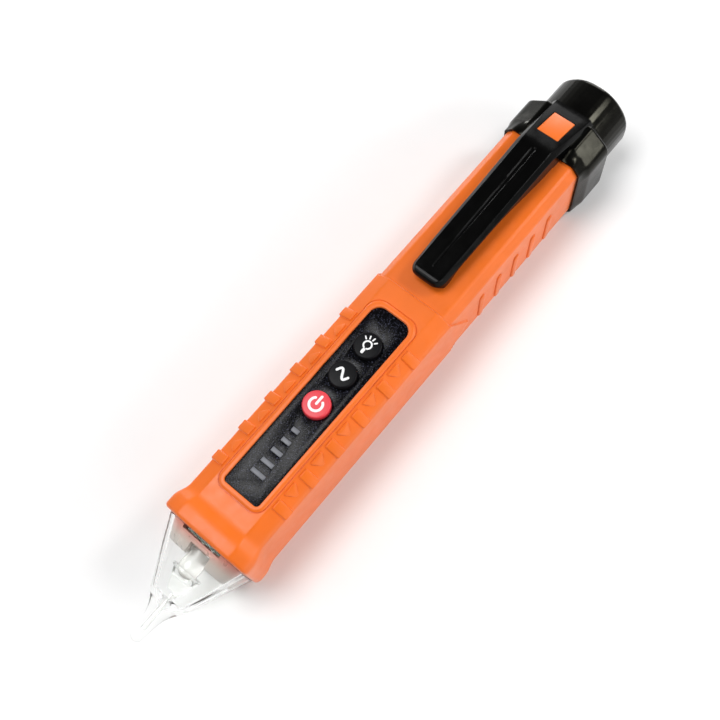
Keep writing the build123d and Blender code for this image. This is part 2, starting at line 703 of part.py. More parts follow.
def cap_spring():
    """Coil that presses the rear cell forwards."""
    start = CELLS_END + SLIDE_GAP + SPRING_WIRE_R
    end = CAP_FLOOR - CONTACT_THICK - SPRING_WIRE_R
    coil = Helix(pitch=(end - start) / SPRING_TURNS, height=end - start, radius=SPRING_R)
    path = Pos(start, 0, AXIS_Z) * Rot(0, 90, 0) * coil
    return sweep(Plane(origin=path @ 0, z_dir=path % 0) * Circle(SPRING_WIRE_R), path=path)


def pocket_clip():
    """Springy arm along the rear body, with side skirts at its root and a toe at its free end."""
    front_top, rear_top = CLIP_TOP
    side = [
        (CLIP_START + CLIP_NOSE, CLIP_TOE_Z),
        (CLIP_START, front_top - CLIP_NOSE + 0.3),
        (CLIP_START, front_top - 0.7),
        (CLIP_START + 0.8, front_top),
        (CLIP_END, rear_top),
        (CLIP_END, rear_top - CLIP_THICK),
        (CLIP_START + CLIP_TOE_END + 2.0, front_top - CLIP_THICK),
        (CLIP_START + CLIP_TOE_END, CLIP_TOE_Z),
    ]
    arm = side_slab(side, -COLLAR_HALF, COLLAR_HALF)
    right = [
        (CLIP_START, -CLIP_FRONT_HALF),
        (CLIP_START + CLIP_FRONT_TAPER, -CLIP_HALF[0]),
        (CLIP_END, -CLIP_HALF[1]),
    ]
    arm &= plan_slab(right + [(s, -y) for s, y in reversed(right)], AXIS_Z, LENGTH)
    skirt = [
        (SKIRT_START, rear_top - 2.4),
        (CLIP_END, SKIRT_LOW),
        (CLIP_END, rear_top - 1.0),
        (SKIRT_START, front_top),
    ]
    for inner in (-CLIP_HALF[1] + 0.1, CLIP_HALF[1] - 0.1 - SKIRT_THICK):
        arm += side_slab(skirt, inner, inner + SKIRT_THICK)
    return arm


def build_all():
    """Every node's name and its solids."""
    nodes = {
        "front_shell": front_shell(),
        "back_shell": back_shell(),
        "nose_lens": nose_lens(),
        "light_guide": light_guide(),
        "nose_led": nose_led(),
        "led_leads": led_leads(),
        "sense_antenna": sense_antenna(),
        "main_board": main_board(),
        "board_components": board_components(),
        "board_screws": board_screws(),
        "panel_overlay": panel_overlay(),
        "signal_bars": signal_bars(),
        "signal_leds": signal_leds(),
        "buzzer": buzzer(),
        "battery_tube": battery_tube(),
        "front_cell": cell(CELLS_START),
        "rear_cell": cell(CELLS_START + CELL_LENGTH),
        "front_contact": front_contact(),
        "ground_strip": ground_strip(),
        "cap_latch": cap_latch(),
        "battery_cap": battery_cap(),
        "cap_contact_plate": cap_contact_plate(),
        "cap_spring": cap_spring(),
        "pocket_clip": pocket_clip(),
    }
    for name, s in BUTTONS.items():
        nodes[name + "_button"] = button(s)
        nodes[name + "_plunger"] = plunger(s)
        nodes[name + "_switch"] = switch_body(s)
    return nodes


os.makedirs("parts", exist_ok=True)
for node_name, node_shape in build_all().items():
    solids = node_shape if isinstance(node_shape, list) else node_shape.solids()
    placed = [Pos(-LENGTH / 2, 0, 0) * solid for solid in solids]
    export_step(Compound(children=placed) if len(placed) > 1 else placed[0], f"parts/{node_name}.step")
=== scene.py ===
import json
import math

import bmesh
import bpy
from mathutils import Matrix, Vector


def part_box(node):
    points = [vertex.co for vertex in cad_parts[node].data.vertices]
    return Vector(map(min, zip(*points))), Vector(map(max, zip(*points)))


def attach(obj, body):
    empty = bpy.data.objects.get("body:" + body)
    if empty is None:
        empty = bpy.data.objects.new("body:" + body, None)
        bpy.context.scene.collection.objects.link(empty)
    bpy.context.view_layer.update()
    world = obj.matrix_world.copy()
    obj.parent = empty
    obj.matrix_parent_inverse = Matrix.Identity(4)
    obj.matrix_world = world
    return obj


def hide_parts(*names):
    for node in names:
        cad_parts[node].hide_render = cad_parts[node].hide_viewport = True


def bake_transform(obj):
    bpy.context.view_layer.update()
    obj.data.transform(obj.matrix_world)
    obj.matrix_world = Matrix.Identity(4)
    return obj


# A pen-shaped voltage tester lying on its back. Outlines are in millimetres: s runs along the pen from
# the probe tip, y across it and z up from the floor. at() turns them into the frame's metres.

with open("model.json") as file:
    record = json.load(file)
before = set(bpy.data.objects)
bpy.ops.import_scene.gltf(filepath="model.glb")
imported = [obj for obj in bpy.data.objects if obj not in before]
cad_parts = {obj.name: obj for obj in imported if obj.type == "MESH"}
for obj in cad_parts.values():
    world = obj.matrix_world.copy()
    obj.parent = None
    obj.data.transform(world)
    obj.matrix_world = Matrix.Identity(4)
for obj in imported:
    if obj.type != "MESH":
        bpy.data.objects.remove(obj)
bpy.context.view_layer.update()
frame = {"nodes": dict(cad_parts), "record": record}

MM = 0.001
TIP_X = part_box("nose_lens")[0].x


def at(s, y, z):
    """A point of the frame, in metres, from a place along, across and above in millimetres."""
    return Vector((TIP_X + s * MM, y * MM, z * MM))


def span(node):
    """Lowest and highest (s, y, z) of a CAD node, in millimetres."""
    low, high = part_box(node)
    return tuple(((p.x - TIP_X) / MM, p.y / MM, p.z / MM) for p in (low, high))


# Driving sizes, read from the frame where it has them
LENGTH, _, CLIP_HIGH_Z = span("battery_cap")[1]
(PANEL_START, _, PANEL_FLOOR_Z), (PANEL_END, PANEL_REAR_Y, FACE_Z) = span("panel_overlay")
LENS_LOW = span("nose_lens")[0][2]
FLANGE_START, LENS_HALF, LENS_TOP = span("nose_lens")[1]
AXIS_Z = sum(corner[2] for corner in span("front_cell")) / 2
SPLIT_Z = span("front_shell")[0][2]
_, FLANGE_HALF, FLANGE_TOP = span("front_shell")[1]
CLIP_START = span("pocket_clip")[0][0]
LAMP_FRONT, LAMP_BACK = (corner[0] for corner in span("nose_led"))
LAMP_Z = sum(corner[2] for corner in span("nose_led")) / 2
COLLAR_START = span("battery_cap")[0][0] + 2.9
BARREL_R = span("cap_contact_plate")[1][1] + 2.9

# Housing. A cut is how far a sloped corner reaches across and down.
FLANGE_FLAT_END = 27.1
BODY_START = 29.8
BODY_HALF = 10.0
BODY_BACK_Z = 1.0
TOP_CUT = (3.6, 1.9)
BACK_CUT = (2.2, 2.2)
REAR_HALF = 9.6
REAR_TOP = 19.6
REAR_CUT = (1.8, 2.1)
BODY_END = 137.0
SPIGOT_END = 146.0
WALL = 1.5
STEP_TOP_S = 89.6
STEP_SIDE_S = 96.4
STEP_SIDE_Z = 8.6
SLANT = math.hypot(*TOP_CUT)
SPIGOT_HALF, SPIGOT_HALF_HEIGHT = 8.2, 7.6
RIB_FIRST, RIB_PITCH, RIB_COUNT, RIB_WIDTH, RIB_RAISE = 38.2, 8.0, 6, 2.6, 0.42
BAR_FIRST, BAR_PITCH, BAR_COUNT = 101.0, 6.1, 5

# Mouth of the housing: half width, half height, height of its middle and corner radius
MOUTH_FRONT = (5.7, 5.1, 10.5, 4.2)
MOUTH_BACK = (7.7, 6.8, 10.9, 5.0)
NECK_START = 19.8

# Lens, and the latch's head in the cap
LENS_WALL = 1.15
SHOULDER_S, SHOULDER_R = 10.5, 4.5
HEAD_START, HEAD_END, HEAD_HALF, HEAD_LOW_Z = 136.0, 142.9, 2.75, 19.0
CAP_COUNT = 256


# ---------------------------------------------------------------- outlines

def rounded(corners, radii, arc_steps, flat_steps):
    """Closed outline with its corners rounded and its straight runs divided."""
    count = len(corners)
    arcs = []
    for i, corner in enumerate(corners):
        here = Vector(corner)
        back = (Vector(corners[i - 1]) - here).normalized()
        on = (Vector(corners[(i + 1) % count]) - here).normalized()
        half_angle = back.angle(on) / 2
        radius = radii[i]
        centre = here + (back + on).normalized() * radius / math.sin(half_angle)
        start = here + back * radius / math.tan(half_angle) - centre
        end = here + on * radius / math.tan(half_angle) - centre
        turn = math.atan2(start.x * end.y - start.y * end.x, start.dot(end))
        arc = []
        for k in range(arc_steps + 1):
            angle = turn * k / arc_steps
            spun = Vector((
                start.x * math.cos(angle) - start.y * math.sin(angle),
                start.x * math.sin(angle) + start.y * math.cos(angle),
            ))
            arc.append(centre + spun)
        arcs.append(arc)
    points = []
    for i, arc in enumerate(arcs):
        points += arc
        following = arcs[(i + 1) % count][0]
        steps = flat_steps[i]
        points += [arc[-1].lerp(following, k / steps) for k in range(1, steps)]
    return [(p.x, p.y) for p in points]


def octagon(half, low, high, low_cut, high_cut, rounding):
    """The pen's cross-section in (y, z): flat top, back and flanks with sloped corners."""
    right = [
        (half - low_cut[0], low),
        (half, low + low_cut[1]),
        (half, high - high_cut[1]),
        (half - high_cut[0], high),
    ]
    corners = right + [(-y, z) for y, z in reversed(right)]
    return rounded(corners, [rounding] * 8, 5, [3, 26, 4, 8, 4, 26, 3, 6])


def by_angle(outline, centre_z, count):
    """The same outline as points at even angles round the axis, so that any two can be lofted."""
    result = []
    size = len(outline)
    for k in range(count):
        angle = 2 * math.pi * k / count
        ray = Vector((math.cos(angle), math.sin(angle)))
        best = 0.0
        for i in range(size):
            a = Vector(outline[i]) - Vector((0, centre_z))
            b = Vector(outline[(i + 1) % size]) - Vector((0, centre_z))
            edge = b - a
            across = ray.x * edge.y - ray.y * edge.x
            if abs(across) < 1e-9:
                continue
            reach = (a.x * edge.y - a.y * edge.x) / across
            share = (a.x * ray.y - a.y * ray.x) / across
            if reach > 0 and -1e-6 <= share <= 1 + 1e-6:
                best = max(best, reach)
        result.append((ray.x * best, centre_z + ray.y * best))
    return result


def circle(radius, centre_z, count):
    """Round outline in (y, z)."""
    return [
        (radius * math.cos(2 * math.pi * k / count), centre_z + radius * math.sin(2 * math.pi * k / count))
        for k in range(count)
    ]


def mix(first, second, part):
    """Outline part of the way from one to another with as many points."""
    return [(a[0] + (b[0] - a[0]) * part, a[1] + (b[1] - a[1]) * part) for a, b in zip(first, second)]


def clamp(x):
    return min(1.0, max(0.0, x))


def quarter_angles(steps, first=0):
    """Even angles over a quarter turn."""
    return [math.pi / 2 * k / steps for k in range(first, steps + 1)]


def ease(x):
    """Smooth step from 0 to 1."""
    x = clamp(x)
    return x * x * (3 - 2 * x)


def soft_line(points, x, reach):
    """Value at x of a polyline whose corners are rounded over +-reach."""

    def value(q):
        if q <= points[0][0]:
            return points[0][1]
        for (x0, v0), (x1, v1) in zip(points, points[1:]):
            if q <= x1:
                return v0 + (v1 - v0) * (q - x0) / (x1 - x0)
        return points[-1][1]

    samples = 9
    return sum(value(x + reach * (2 * k / (samples - 1) - 1)) for k in range(samples)) / samples


def stations(*runs):
    """Places along the pen from runs of (start, end, step)."""
    places = []
    for start, end, step in runs:
        count = max(1, round((end - start) / step))
        places += [start + (end - start) * k / count for k in range(count)]
    return places + [runs[-1][1]]


# ---------------------------------------------------------------- meshes

def object_from(name, bm, recalculate=True):
    """Object in the scene from a finished bmesh."""
    if recalculate:
        bmesh.ops.recalc_face_normals(bm, faces=bm.faces)
    mesh = bpy.data.meshes.new(name)
    bm.to_mesh(mesh)
    bm.free()
    made = bpy.data.objects.new(name, mesh)
    bpy.context.scene.collection.objects.link(made)
    return made


def loft(name, rings, endless=False):
    """Closed skin over rings of equal length: with two end faces, or joined up when endless."""
    bm = bmesh.new()
    rows = [[bm.verts.new(p) for p in ring] for ring in rings]
    for lower, upper in zip(rows, rows[1:] + rows[:1] if endless else rows[1:]):
        count = len(lower)
        for i in range(count):
            j = (i + 1) % count
            bm.faces.new((lower[i], lower[j], upper[j], upper[i]))
    if not endless:
        bm.faces.new(rows[0][::-1])
        bm.faces.new(rows[-1])
    return object_from(name, bm)


def ring_at(s, outline):
    """Frame points of a (y, z) outline at one place along the pen."""
    return [at(s, y, z) for y, z in outline]


def prism(name, outline, low_z, high_z):
    """Closed solid of an (s, y) outline between two heights."""
    return loft(name, [[at(s, y, z) for s, y in outline] for z in (low_z, high_z)])


def side_prism(name, outline, low_y, high_y):
    """Closed solid of an (s, z) outline between two places across."""
    return loft(name, [[at(s, y, z) for s, z in outline] for y in (low_y, high_y)])


def brick(name, start, end, low_y, high_y, low_z, high_z):
    return prism(name, [(start, low_y), (end, low_y), (end, high_y), (start, high_y)], low_z, high_z)


def turned(name, profile, count, centre, along="x"):
    """Solid of revolution from (distance along, radius) points, about an axis through a frame point."""
    rings = []
    for distance, radius in profile:
        ring = []
        for k in range(count):
            angle = 2 * math.pi * k / count
            u, v = radius * math.cos(angle) * MM, radius * math.sin(angle) * MM
            offset = (distance * MM, u, v) if along == "x" else (u, v, distance * MM)
            ring.append(centre + Vector(offset))
        rings.append(ring)
    return loft(name, rings)


def bake(piece):
    """Applies a piece's modifiers to its mesh."""
    depsgraph = bpy.context.evaluated_depsgraph_get()
    mesh = bpy.data.meshes.new_from_object(piece.evaluated_get(depsgraph))
    piece.modifiers.clear()
    old = piece.data
    piece.data = mesh
    bpy.data.meshes.remove(old)
    return piece


def combine(piece, tools, operation):
    """Adds tools to a piece or cuts them from it, and removes the tools."""
    for tool in tools:
        step = piece.modifiers.new("step", "BOOLEAN")
        step.operation = operation
        step.solver = "MANIFOLD"
        step.object = tool
        bake(piece)
        bpy.data.objects.remove(tool)
    return piece


def add(piece, *tools):
    return combine(piece, tools, "UNION")


def cut(piece, *tools):
    return combine(piece, tools, "DIFFERENCE")


def soften(piece, width, angle=50, segments=2):
    """Rounds a piece's sharp edges."""
    step = piece.modifiers.new("step", "BEVEL")
    step.width = width * MM
    step.segments = segments
    step.limit_method = "ANGLE"
    step.angle_limit = math.radians(angle)
    step.use_clamp_overlap = True
    return bake(piece)


def copy_of(piece, name):
    twin = piece.copy()
    twin.data = piece.data.copy()
    twin.name = name
    bpy.context.scene.collection.objects.link(twin)
    return twin


def settle(piece, body, slot, nodes=(), sharp=35, material=None):
    """Shades a finished piece, gives it its slot's material or another, and fixes it to its CAD body."""
    mesh = piece.data
    mesh.materials.clear()
    mesh.materials.append(MATERIALS[material or slot])
    mesh.shade_smooth()
    mesh.set_sharp_from_angle(angle=math.radians(sharp))
    if body:
        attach(piece, body)
    if nodes:
        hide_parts(*nodes)


# ---------------------------------------------------------------- materials

def start_material(name):
    """New material, its node tree, its shader and the place that its textures follow."""
    material = bpy.data.materials.new(name)
    material.use_nodes = True
    tree = material.node_tree
    shader = tree.nodes["Principled BSDF"]
    place = tree.nodes.new("ShaderNodeTexCoord")
    return material, tree, shader, place.outputs["Object"]


def stretched(tree, vector, scale):
    """Texture place with its own scale along each axis."""
    node = tree.nodes.new("ShaderNodeMapping")
    node.inputs["Scale"].default_value = scale
    tree.links.new(vector, node.inputs["Vector"])
    return node.outputs["Vector"]


def noise(tree, vector, size_mm, detail=2.0, rough=0.5):
    """Noise with features about size_mm across."""
    node = tree.nodes.new("ShaderNodeTexNoise")
    node.inputs["Scale"].default_value = 1 / (size_mm * MM)
    node.inputs["Detail"].default_value = detail
    node.inputs["Roughness"].default_value = rough
    tree.links.new(vector, node.inputs["Vector"])
    return node.outputs["Fac"]


def ramp(tree, value, stops):
    """Colours spread over a value."""
    node = tree.nodes.new("ShaderNodeValToRGB")
    elements = node.color_ramp.elements
    while len(elements) < len(stops):
        elements.new(0.5)
    for element, (place, colour) in zip(elements, stops):
        element.position = place
        element.color = (*colour, 1.0)
    tree.links.new(value, node.inputs["Fac"])
    return node.outputs["Color"]


def spread(tree, value, low, high, from_low=0.3, from_high=0.7):
    """A value moved to another range."""
    node = tree.nodes.new("ShaderNodeMapRange")
    node.inputs["From Min"].default_value = from_low
    node.inputs["From Max"].default_value = from_high
    node.inputs["To Min"].default_value = low
    node.inputs["To Max"].default_value = high
    tree.links.new(value, node.inputs["Value"])
    return node.outputs["Result"]


def bump(tree, shader, height, depth_mm, before=None):
    """Surface relief from a height, optionally on top of an earlier one."""
    node = tree.nodes.new("ShaderNodeBump")
    node.inputs["Strength"].default_value = 1.0
    node.inputs["Distance"].default_value = depth_mm * MM
    tree.links.new(height, node.inputs["Height"])
    if before is not None:
        tree.links.new(before, node.inputs["Normal"])
    tree.links.new(node.outputs["Normal"], shader.inputs["Normal"])
    return node.outputs["Normal"]


def shade(colour, factor):
    return tuple(min(1.0, c * factor) for c in colour)


def moulded(
    name, colour, roughness, grain_mm=0.35, grain_depth=0.01, tint=0.06, veil=0.0, streak=0.0, shine=0.5,
    glint=(1.0, 1.0, 1.0),
):
    """Moulded plastic: fine grain, faint cloudy colour and, where asked, a pale veil or flow streaks."""
    material, tree, shader, place = start_material(name)
    cloud = noise(tree, place, 9.0, 3.0)
    colours = ramp(tree, cloud, [(0.3, shade(colour, 1 - tint)), (0.7, shade(colour, 1 + tint))])
    tree.links.new(colours, shader.inputs["Base Color"])
    patches = noise(tree, place, 2.5, 3.0)
    tree.links.new(spread(tree, patches, roughness - 0.05, roughness + 0.06), shader.inputs["Roughness"])
    grain = noise(tree, place, grain_mm, 3.0, 0.6)
    normal = bump(tree, shader, grain, grain_depth)
    if streak:
        lines = noise(tree, stretched(tree, place, (0.05, 1.0, 1.0)), 0.18, 2.0)
        bump(tree, shader, lines, streak, before=normal)
    shader.inputs["Specular IOR Level"].default_value = shine
    shader.inputs["Specular Tint"].default_value = (*glint, 1.0)
    shader.inputs["Sheen Weight"].default_value = veil
    shader.inputs["Sheen Roughness"].default_value = 0.3
    return material


def panel_with_painted_glints():
    """Black textured film with fine specks: the faint ones are its own grain, the brightest bluish ones are
    painted glints in its base colour.
    """
    material, tree, shader, place = start_material("panel_film")
    cells = tree.nodes.new("ShaderNodeTexVoronoi")
    cells.inputs["Scale"].default_value = 1 / (0.17 * MM)
    tree.links.new(place, cells.inputs["Vector"])
    split = tree.nodes.new("ShaderNodeSeparateColor")
    tree.links.new(cells.outputs["Color"], split.inputs["Color"])
    # The dark cells are the film's own black grain. The bright bluish top stop is painted glint that stands in
    # for the film's sparkle.
    specks_with_painted_glints = ramp(tree, split.outputs["Red"], [
        (0.0, (0.0008, 0.0008, 0.0012)),
        (0.55, (0.0015, 0.0015, 0.0022)),
        (0.86, (0.005, 0.005, 0.008)),
        (1.0, (0.050, 0.053, 0.080)),
    ])
    tree.links.new(specks_with_painted_glints, shader.inputs["Base Color"])
    tree.links.new(spread(tree, split.outputs["Green"], 0.14, 0.28, 0.0, 1.0), shader.inputs["Roughness"])
    shader.inputs["Specular IOR Level"].default_value = 0.14
    bump(tree, shader, cells.outputs["Distance"], 0.015)
    return material


def clear_plastic(name, tint, roughness, ior, clearness):
    """Clear moulding that also lets lamp light through."""
    material, tree, shader, place = start_material(name)
    shader.inputs["Base Color"].default_value = (*tint, 1.0)
    shader.inputs["Transmission Weight"].default_value = clearness
    shader.inputs["IOR"].default_value = ior
    haze = noise(tree, place, 3.0, 2.0)
    tree.links.new(spread(tree, haze, roughness * 0.7, roughness * 1.4), shader.inputs["Roughness"])
    bump(tree, shader, noise(tree, place, 0.5, 2.0), 0.002)
    output = tree.nodes["Material Output"]
    path = tree.nodes.new("ShaderNodeLightPath")
    through = tree.nodes.new("ShaderNodeBsdfTransparent")
    through.inputs["Color"].default_value = (*shade(tint, 0.93), 1.0)
    choose = tree.nodes.new("ShaderNodeMixShader")
    tree.links.new(path.outputs["Is Shadow Ray"], choose.inputs["Fac"])
    tree.links.new(shader.outputs["BSDF"], choose.inputs[1])
    tree.links.new(through.outputs["BSDF"], choose.inputs[2])
    tree.links.new(choose.outputs["Shader"], output.inputs["Surface"])
    return material


def lens_base_with_painted_flange_glow():
    """The lens's thick base ring: milky, with a painted orange-red glow towards the orange flange that stands
    in for the flange's light seen through the clear base.
    """
    material, tree, shader, place = start_material("lens_base")
    split = tree.nodes.new("ShaderNodeSeparateXYZ")
    tree.links.new(place, split.inputs["Vector"])
    milky_s, painted_glow_s = 19.5, 24.0
    flange_glow_share = spread(tree, split.outputs["X"], 0.0, 1.0, TIP_X + milky_s * MM, TIP_X + painted_glow_s * MM)
    # Milky grey that turns orange-red near the flange: the orange-red is painted glow of the flange's light,
    # not a tint of the clear plastic.
    colours = ramp(tree, flange_glow_share, [
        (0.0, (0.62, 0.60, 0.57)),
        (0.45, (0.60, 0.52, 0.47)),
        (1.0, (0.66, 0.22, 0.16)),
    ])
    tree.links.new(colours, shader.inputs["Base Color"])
    shader.inputs["Transmission Weight"].default_value = 0.35
    shader.inputs["IOR"].default_value = 1.3
    haze = noise(tree, place, 2.0, 2.0)
    tree.links.new(spread(tree, haze, 0.25, 0.4), shader.inputs["Roughness"])
    bump(tree, shader, noise(tree, place, 0.4, 2.0), 0.004)
    return material


def metal(name, colour, roughness):
    """Rolled or drawn metal with fine lines along it."""
    material, tree, shader, place = start_material(name)
    shader.inputs["Metallic"].default_value = 1.0
    lines = noise(tree, stretched(tree, place, (0.08, 1.0, 1.0)), 0.12, 3.0)
    colours = ramp(tree, lines, [(0.3, shade(colour, 0.85)), (0.7, colour)])
    tree.links.new(colours, shader.inputs["Base Color"])
    tree.links.new(spread(tree, lines, roughness - 0.06, roughness + 0.08), shader.inputs["Roughness"])
    bump(tree, shader, lines, 0.004)
    return material


def cell_jacket():
    """Plain dark battery sleeve."""
    material, tree, shader, place = start_material("cell_jacket")
    cloud = noise(tree, place, 4.0)
    colours = ramp(tree, cloud, [(0.3, (0.05, 0.055, 0.06)), (0.7, (0.075, 0.08, 0.09))])
    tree.links.new(colours, shader.inputs["Base Color"])
    tree.links.new(spread(tree, cloud, 0.25, 0.4), shader.inputs["Roughness"])
    bump(tree, shader, noise(tree, place, 0.5), 0.003)
    return material


ORANGE = (0.80, 0.150, 0.010)
BLACK = (0.0018, 0.0018, 0.0018)
WARM_GLINT = (0.98, 0.95, 0.74)
MATERIALS = {
    "shell_orange": moulded(
        "orange_shell", ORANGE, 0.38, 0.32, 0.012, 0.05, veil=0.35, streak=0.004, shine=0.38
    ),
    "cap_black": moulded(
        "gloss_black", BLACK, 0.18, 0.5, 0.003, 0.15, streak=0.007, shine=0.15, glint=WARM_GLINT
    ),
    "clip_black": moulded("clip_gloss_black", BLACK, 0.16, 0.5, 0.002, 0.15, shine=0.10),
    "lens_base": lens_base_with_painted_flange_glow(),
    "button_red": moulded("red_rubber", (0.72, 0.038, 0.055), 0.42, 0.25, 0.006),
    "button_black": moulded("black_rubber", (0.003, 0.003, 0.004), 0.40, 0.25, 0.006, shine=0.12),
    "print_white": moulded("white_print", (0.86, 0.86, 0.86), 0.5, 0.15, 0.003, 0.02),
    "panel_black": panel_with_painted_glints(),
    "signal_grey": moulded("grey_light_bar", (0.15, 0.155, 0.175), 0.42, 0.22, 0.02, 0.12),
    "clear_lens": clear_plastic("clear_lens", (0.96, 0.965, 0.96), 0.08, 1.17, 1.0),
    "clear_guide": clear_plastic("clear_guide", (0.97, 0.975, 0.965), 0.08, 1.32, 0.86),
    "clear_led": clear_plastic("clear_lamp", (0.98, 0.98, 0.96), 0.05, 1.45, 0.72),
    "tinned_wire": metal("tinned_wire", (0.88, 0.88, 0.86), 0.5),
    "contact_steel": metal("nickel_contact", (0.75, 0.73, 0.68), 0.28),
    "screw_steel": metal("zinc_screw", (0.60, 0.60, 0.62), 0.32),
    "circuit_board": moulded("circuit_board", (0.012, 0.075, 0.030), 0.35, 0.6, 0.01, 0.2),
    "component_black": moulded("component_black", (0.018, 0.018, 0.020), 0.45, 0.2, 0.006),
    "led_white": moulded("lamp_white", (0.80, 0.80, 0.72), 0.3, 0.2, 0.004),
    "tube_black": moulded("tube_black", (0.02, 0.02, 0.022), 0.45, 0.4, 0.01),
    "switch_plastic": moulded("switch_plastic", (0.03, 0.03, 0.032), 0.4, 0.2, 0.005),
    "cell_jacket": cell_jacket(),
}


# ---------------------------------------------------------------- housing

def flange_outline(inset=0.0):
    low_cut, top_cut, corner = (4.2, 4.2), (4.1, 2.2), 2.0
    return octagon(FLANGE_HALF - inset, inset, FLANGE_TOP - inset, low_cut, top_cut, corner)


def body_outline(inset=0.0):
    return octagon(BODY_HALF - inset, BODY_BACK_Z + inset, FACE_Z - inset, BACK_CUT, TOP_CUT, 1.1)


def rear_outline(outset=0.0):
    return octagon(REAR_HALF + outset, BODY_BACK_Z - outset, REAR_TOP + outset, BACK_CUT, REAR_CUT, 1.2)


def step_edge(z):
    """Where the wide front body ends: straight over the top, an arrow point on each flank."""
    upper, lower = FACE_Z - TOP_CUT[1], BODY_BACK_Z + BACK_CUT[1]
    reach = STEP_SIDE_S - STEP_TOP_S
    if z > STEP_SIDE_Z:
        return STEP_TOP_S + reach * clamp((upper - z) / (upper - STEP_SIDE_Z))
    return STEP_TOP_S + reach * clamp((z - lower) / (STEP_SIDE_Z - lower))


def housing_skin():
    """Outer form of the housing: flange, front body with its arrow step, and rear body."""
    edge_round, step_ramp = 0.8, 0.5
    roll, roll_top_z, roll_reach = 0.9, 13.0, 9.0
    fade_start, fade_end, step_start, step_end = 26.2, 30.8, 88.8, 97.2
    flange, body, rear = flange_outline(), body_outline(), rear_outline()
    rings = []
    for angle in quarter_angles(5):
        turn_in = flange_outline(edge_round * (1 - math.sin(angle)))
        back = edge_round * (1 - math.cos(angle))
        rings.append([
            at(FLANGE_START + back * (1 + roll * ease((roll_top_z - z) / roll_reach)), y, z)
            for y, z in turn_in
        ])
    places = stations(
        (FLANGE_START + (1 + roll) * edge_round + 0.1, fade_start, 0.3),
        (fade_start, fade_end, 0.15),
        (fade_end, step_start, 3.0),
        (step_start, step_end, 0.1),
        (step_end, BODY_END - 0.3, 3.0),
    )
    for s in places:
        part = soft_line([(FLANGE_FLAT_END, 1.0), (BODY_START, 0.0)], s, 0.8)
        front = mix(body, flange, part)
        outline = []
        for near, far in zip(front, rear):
            share = ease((step_edge(near[1]) + step_ramp / 2 - s) / step_ramp)
            outline.append(mix([far], [near], share)[0])
        rings.append(ring_at(s, outline))
    rings.append(ring_at(BODY_END, rear_outline(-0.3)))
    return loft("housing_skin", rings)


def box_outline(half, half_height, centre_z, corner, arc_steps=8):
    """Rectangle with round corners, in (y, z)."""
    corners = [
        (half, centre_z - half_height),
        (half, centre_z + half_height),
        (-half, centre_z + half_height),
        (-half, centre_z - half_height),
    ]
    return rounded(corners, [corner] * 4, arc_steps, [6] * 4)


def spigot_skin():
    """Outer form of the battery spigot that the cap slides over, with a lead-in edge."""
    rings = []
    for s, inset in ((BODY_END - 2, 0), (SPIGOT_END - 0.5, 0), (SPIGOT_END - 0.15, 0.15), (SPIGOT_END, 0.5)):
        outline = box_outline(SPIGOT_HALF - inset, SPIGOT_HALF_HEIGHT - inset, AXIS_Z, 3.0)
        rings.append(ring_at(s, outline))
    return loft("spigot_skin", rings)


def rib_solid(name, length, width, height, sink, edge, taper):
    """Rounded block lying on its origin: length along x, width along y, sunk below z = 0."""
    bm = bmesh.new()
    bmesh.ops.create_cube(bm, size=1.0)
    for v in bm.verts:
        low = v.co.z < 0
        along = v.co.x * length * (1.0 if low else taper)
        v.co = Vector((along, v.co.y * width, -sink if low else height)) * MM
    return soften(object_from(name, bm, recalculate=False), edge, 30, 3)


def chamfer_matrix(s, side):
    """Frame of a sloped top corner: x along the pen, y down the slope, z outwards."""
    out = Vector((0, side * TOP_CUT[1] / SLANT, TOP_CUT[0] / SLANT))
    down = Vector((0, side * TOP_CUT[0] / SLANT, -TOP_CUT[1] / SLANT))
    origin = at(s, side * (BODY_HALF - TOP_CUT[0]), FACE_Z)
    return Matrix.Translation(origin) @ Matrix((Vector((1, 0, 0)), down, out)).transposed().to_4x4()


def place_mesh(piece, matrix):
    """Moves a piece's mesh, and keeps its faces outwards when the matrix mirrors it."""
    piece.data.transform(matrix)
    if matrix.determinant() < 0:
        piece.data.flip_normals()
    return piece


def ribs(side):
    """Grip ribs over one sloped corner."""
    pieces = []
    for i in range(RIB_COUNT):
        rib = rib_solid(f"rib_{i}", RIB_WIDTH, SLANT - 0.35, RIB_RAISE, 0.5, 0.22, 0.86)
        rib.data.transform(Matrix.Translation((0, (SLANT + 0.55) / 2 * MM, 0)))
        pieces.append(place_mesh(rib, chamfer_matrix(RIB_FIRST + RIB_PITCH * i, side)))
    return pieces


def wedges(side):
    """Shallow pointed pads between the ribs, wide by the panel and fading to a tip."""
    base, tip, near, reach = 1.85, 0.35, 0.45, 0.66 * SLANT
    fade_start, fade_share, pull = 0.8, 0.75, 0.8
    corners = [(-base, near), (base, near), (tip, reach), (-tip, reach)]
    outline = rounded(corners, [0.25, 0.25, 0.3, 0.3], 4, [4] * 4)
    pieces = []
    for i in range(RIB_COUNT - 1):
        rings = []
        for level, shrink in ((-0.5, 1.0), (0.0, 1.0), (0.26, 0.98), (0.35, 0.93), (0.38, 0.85)):
            ring = []
            for x, y in outline:
                fade = 1 - fade_share * ease((y - fade_start) / (reach - fade_start))
                down = near + (y - near) * shrink + (1 - shrink) * pull
                ring.append(Vector((x * shrink, down, level if level <= 0 else level * fade)) * MM)
            rings.append(ring)
        wedge = loft(f"wedge_{i}", rings)
        pieces.append(place_mesh(wedge, chamfer_matrix(RIB_FIRST + RIB_PITCH * (i + 0.5), side)))
    return pieces


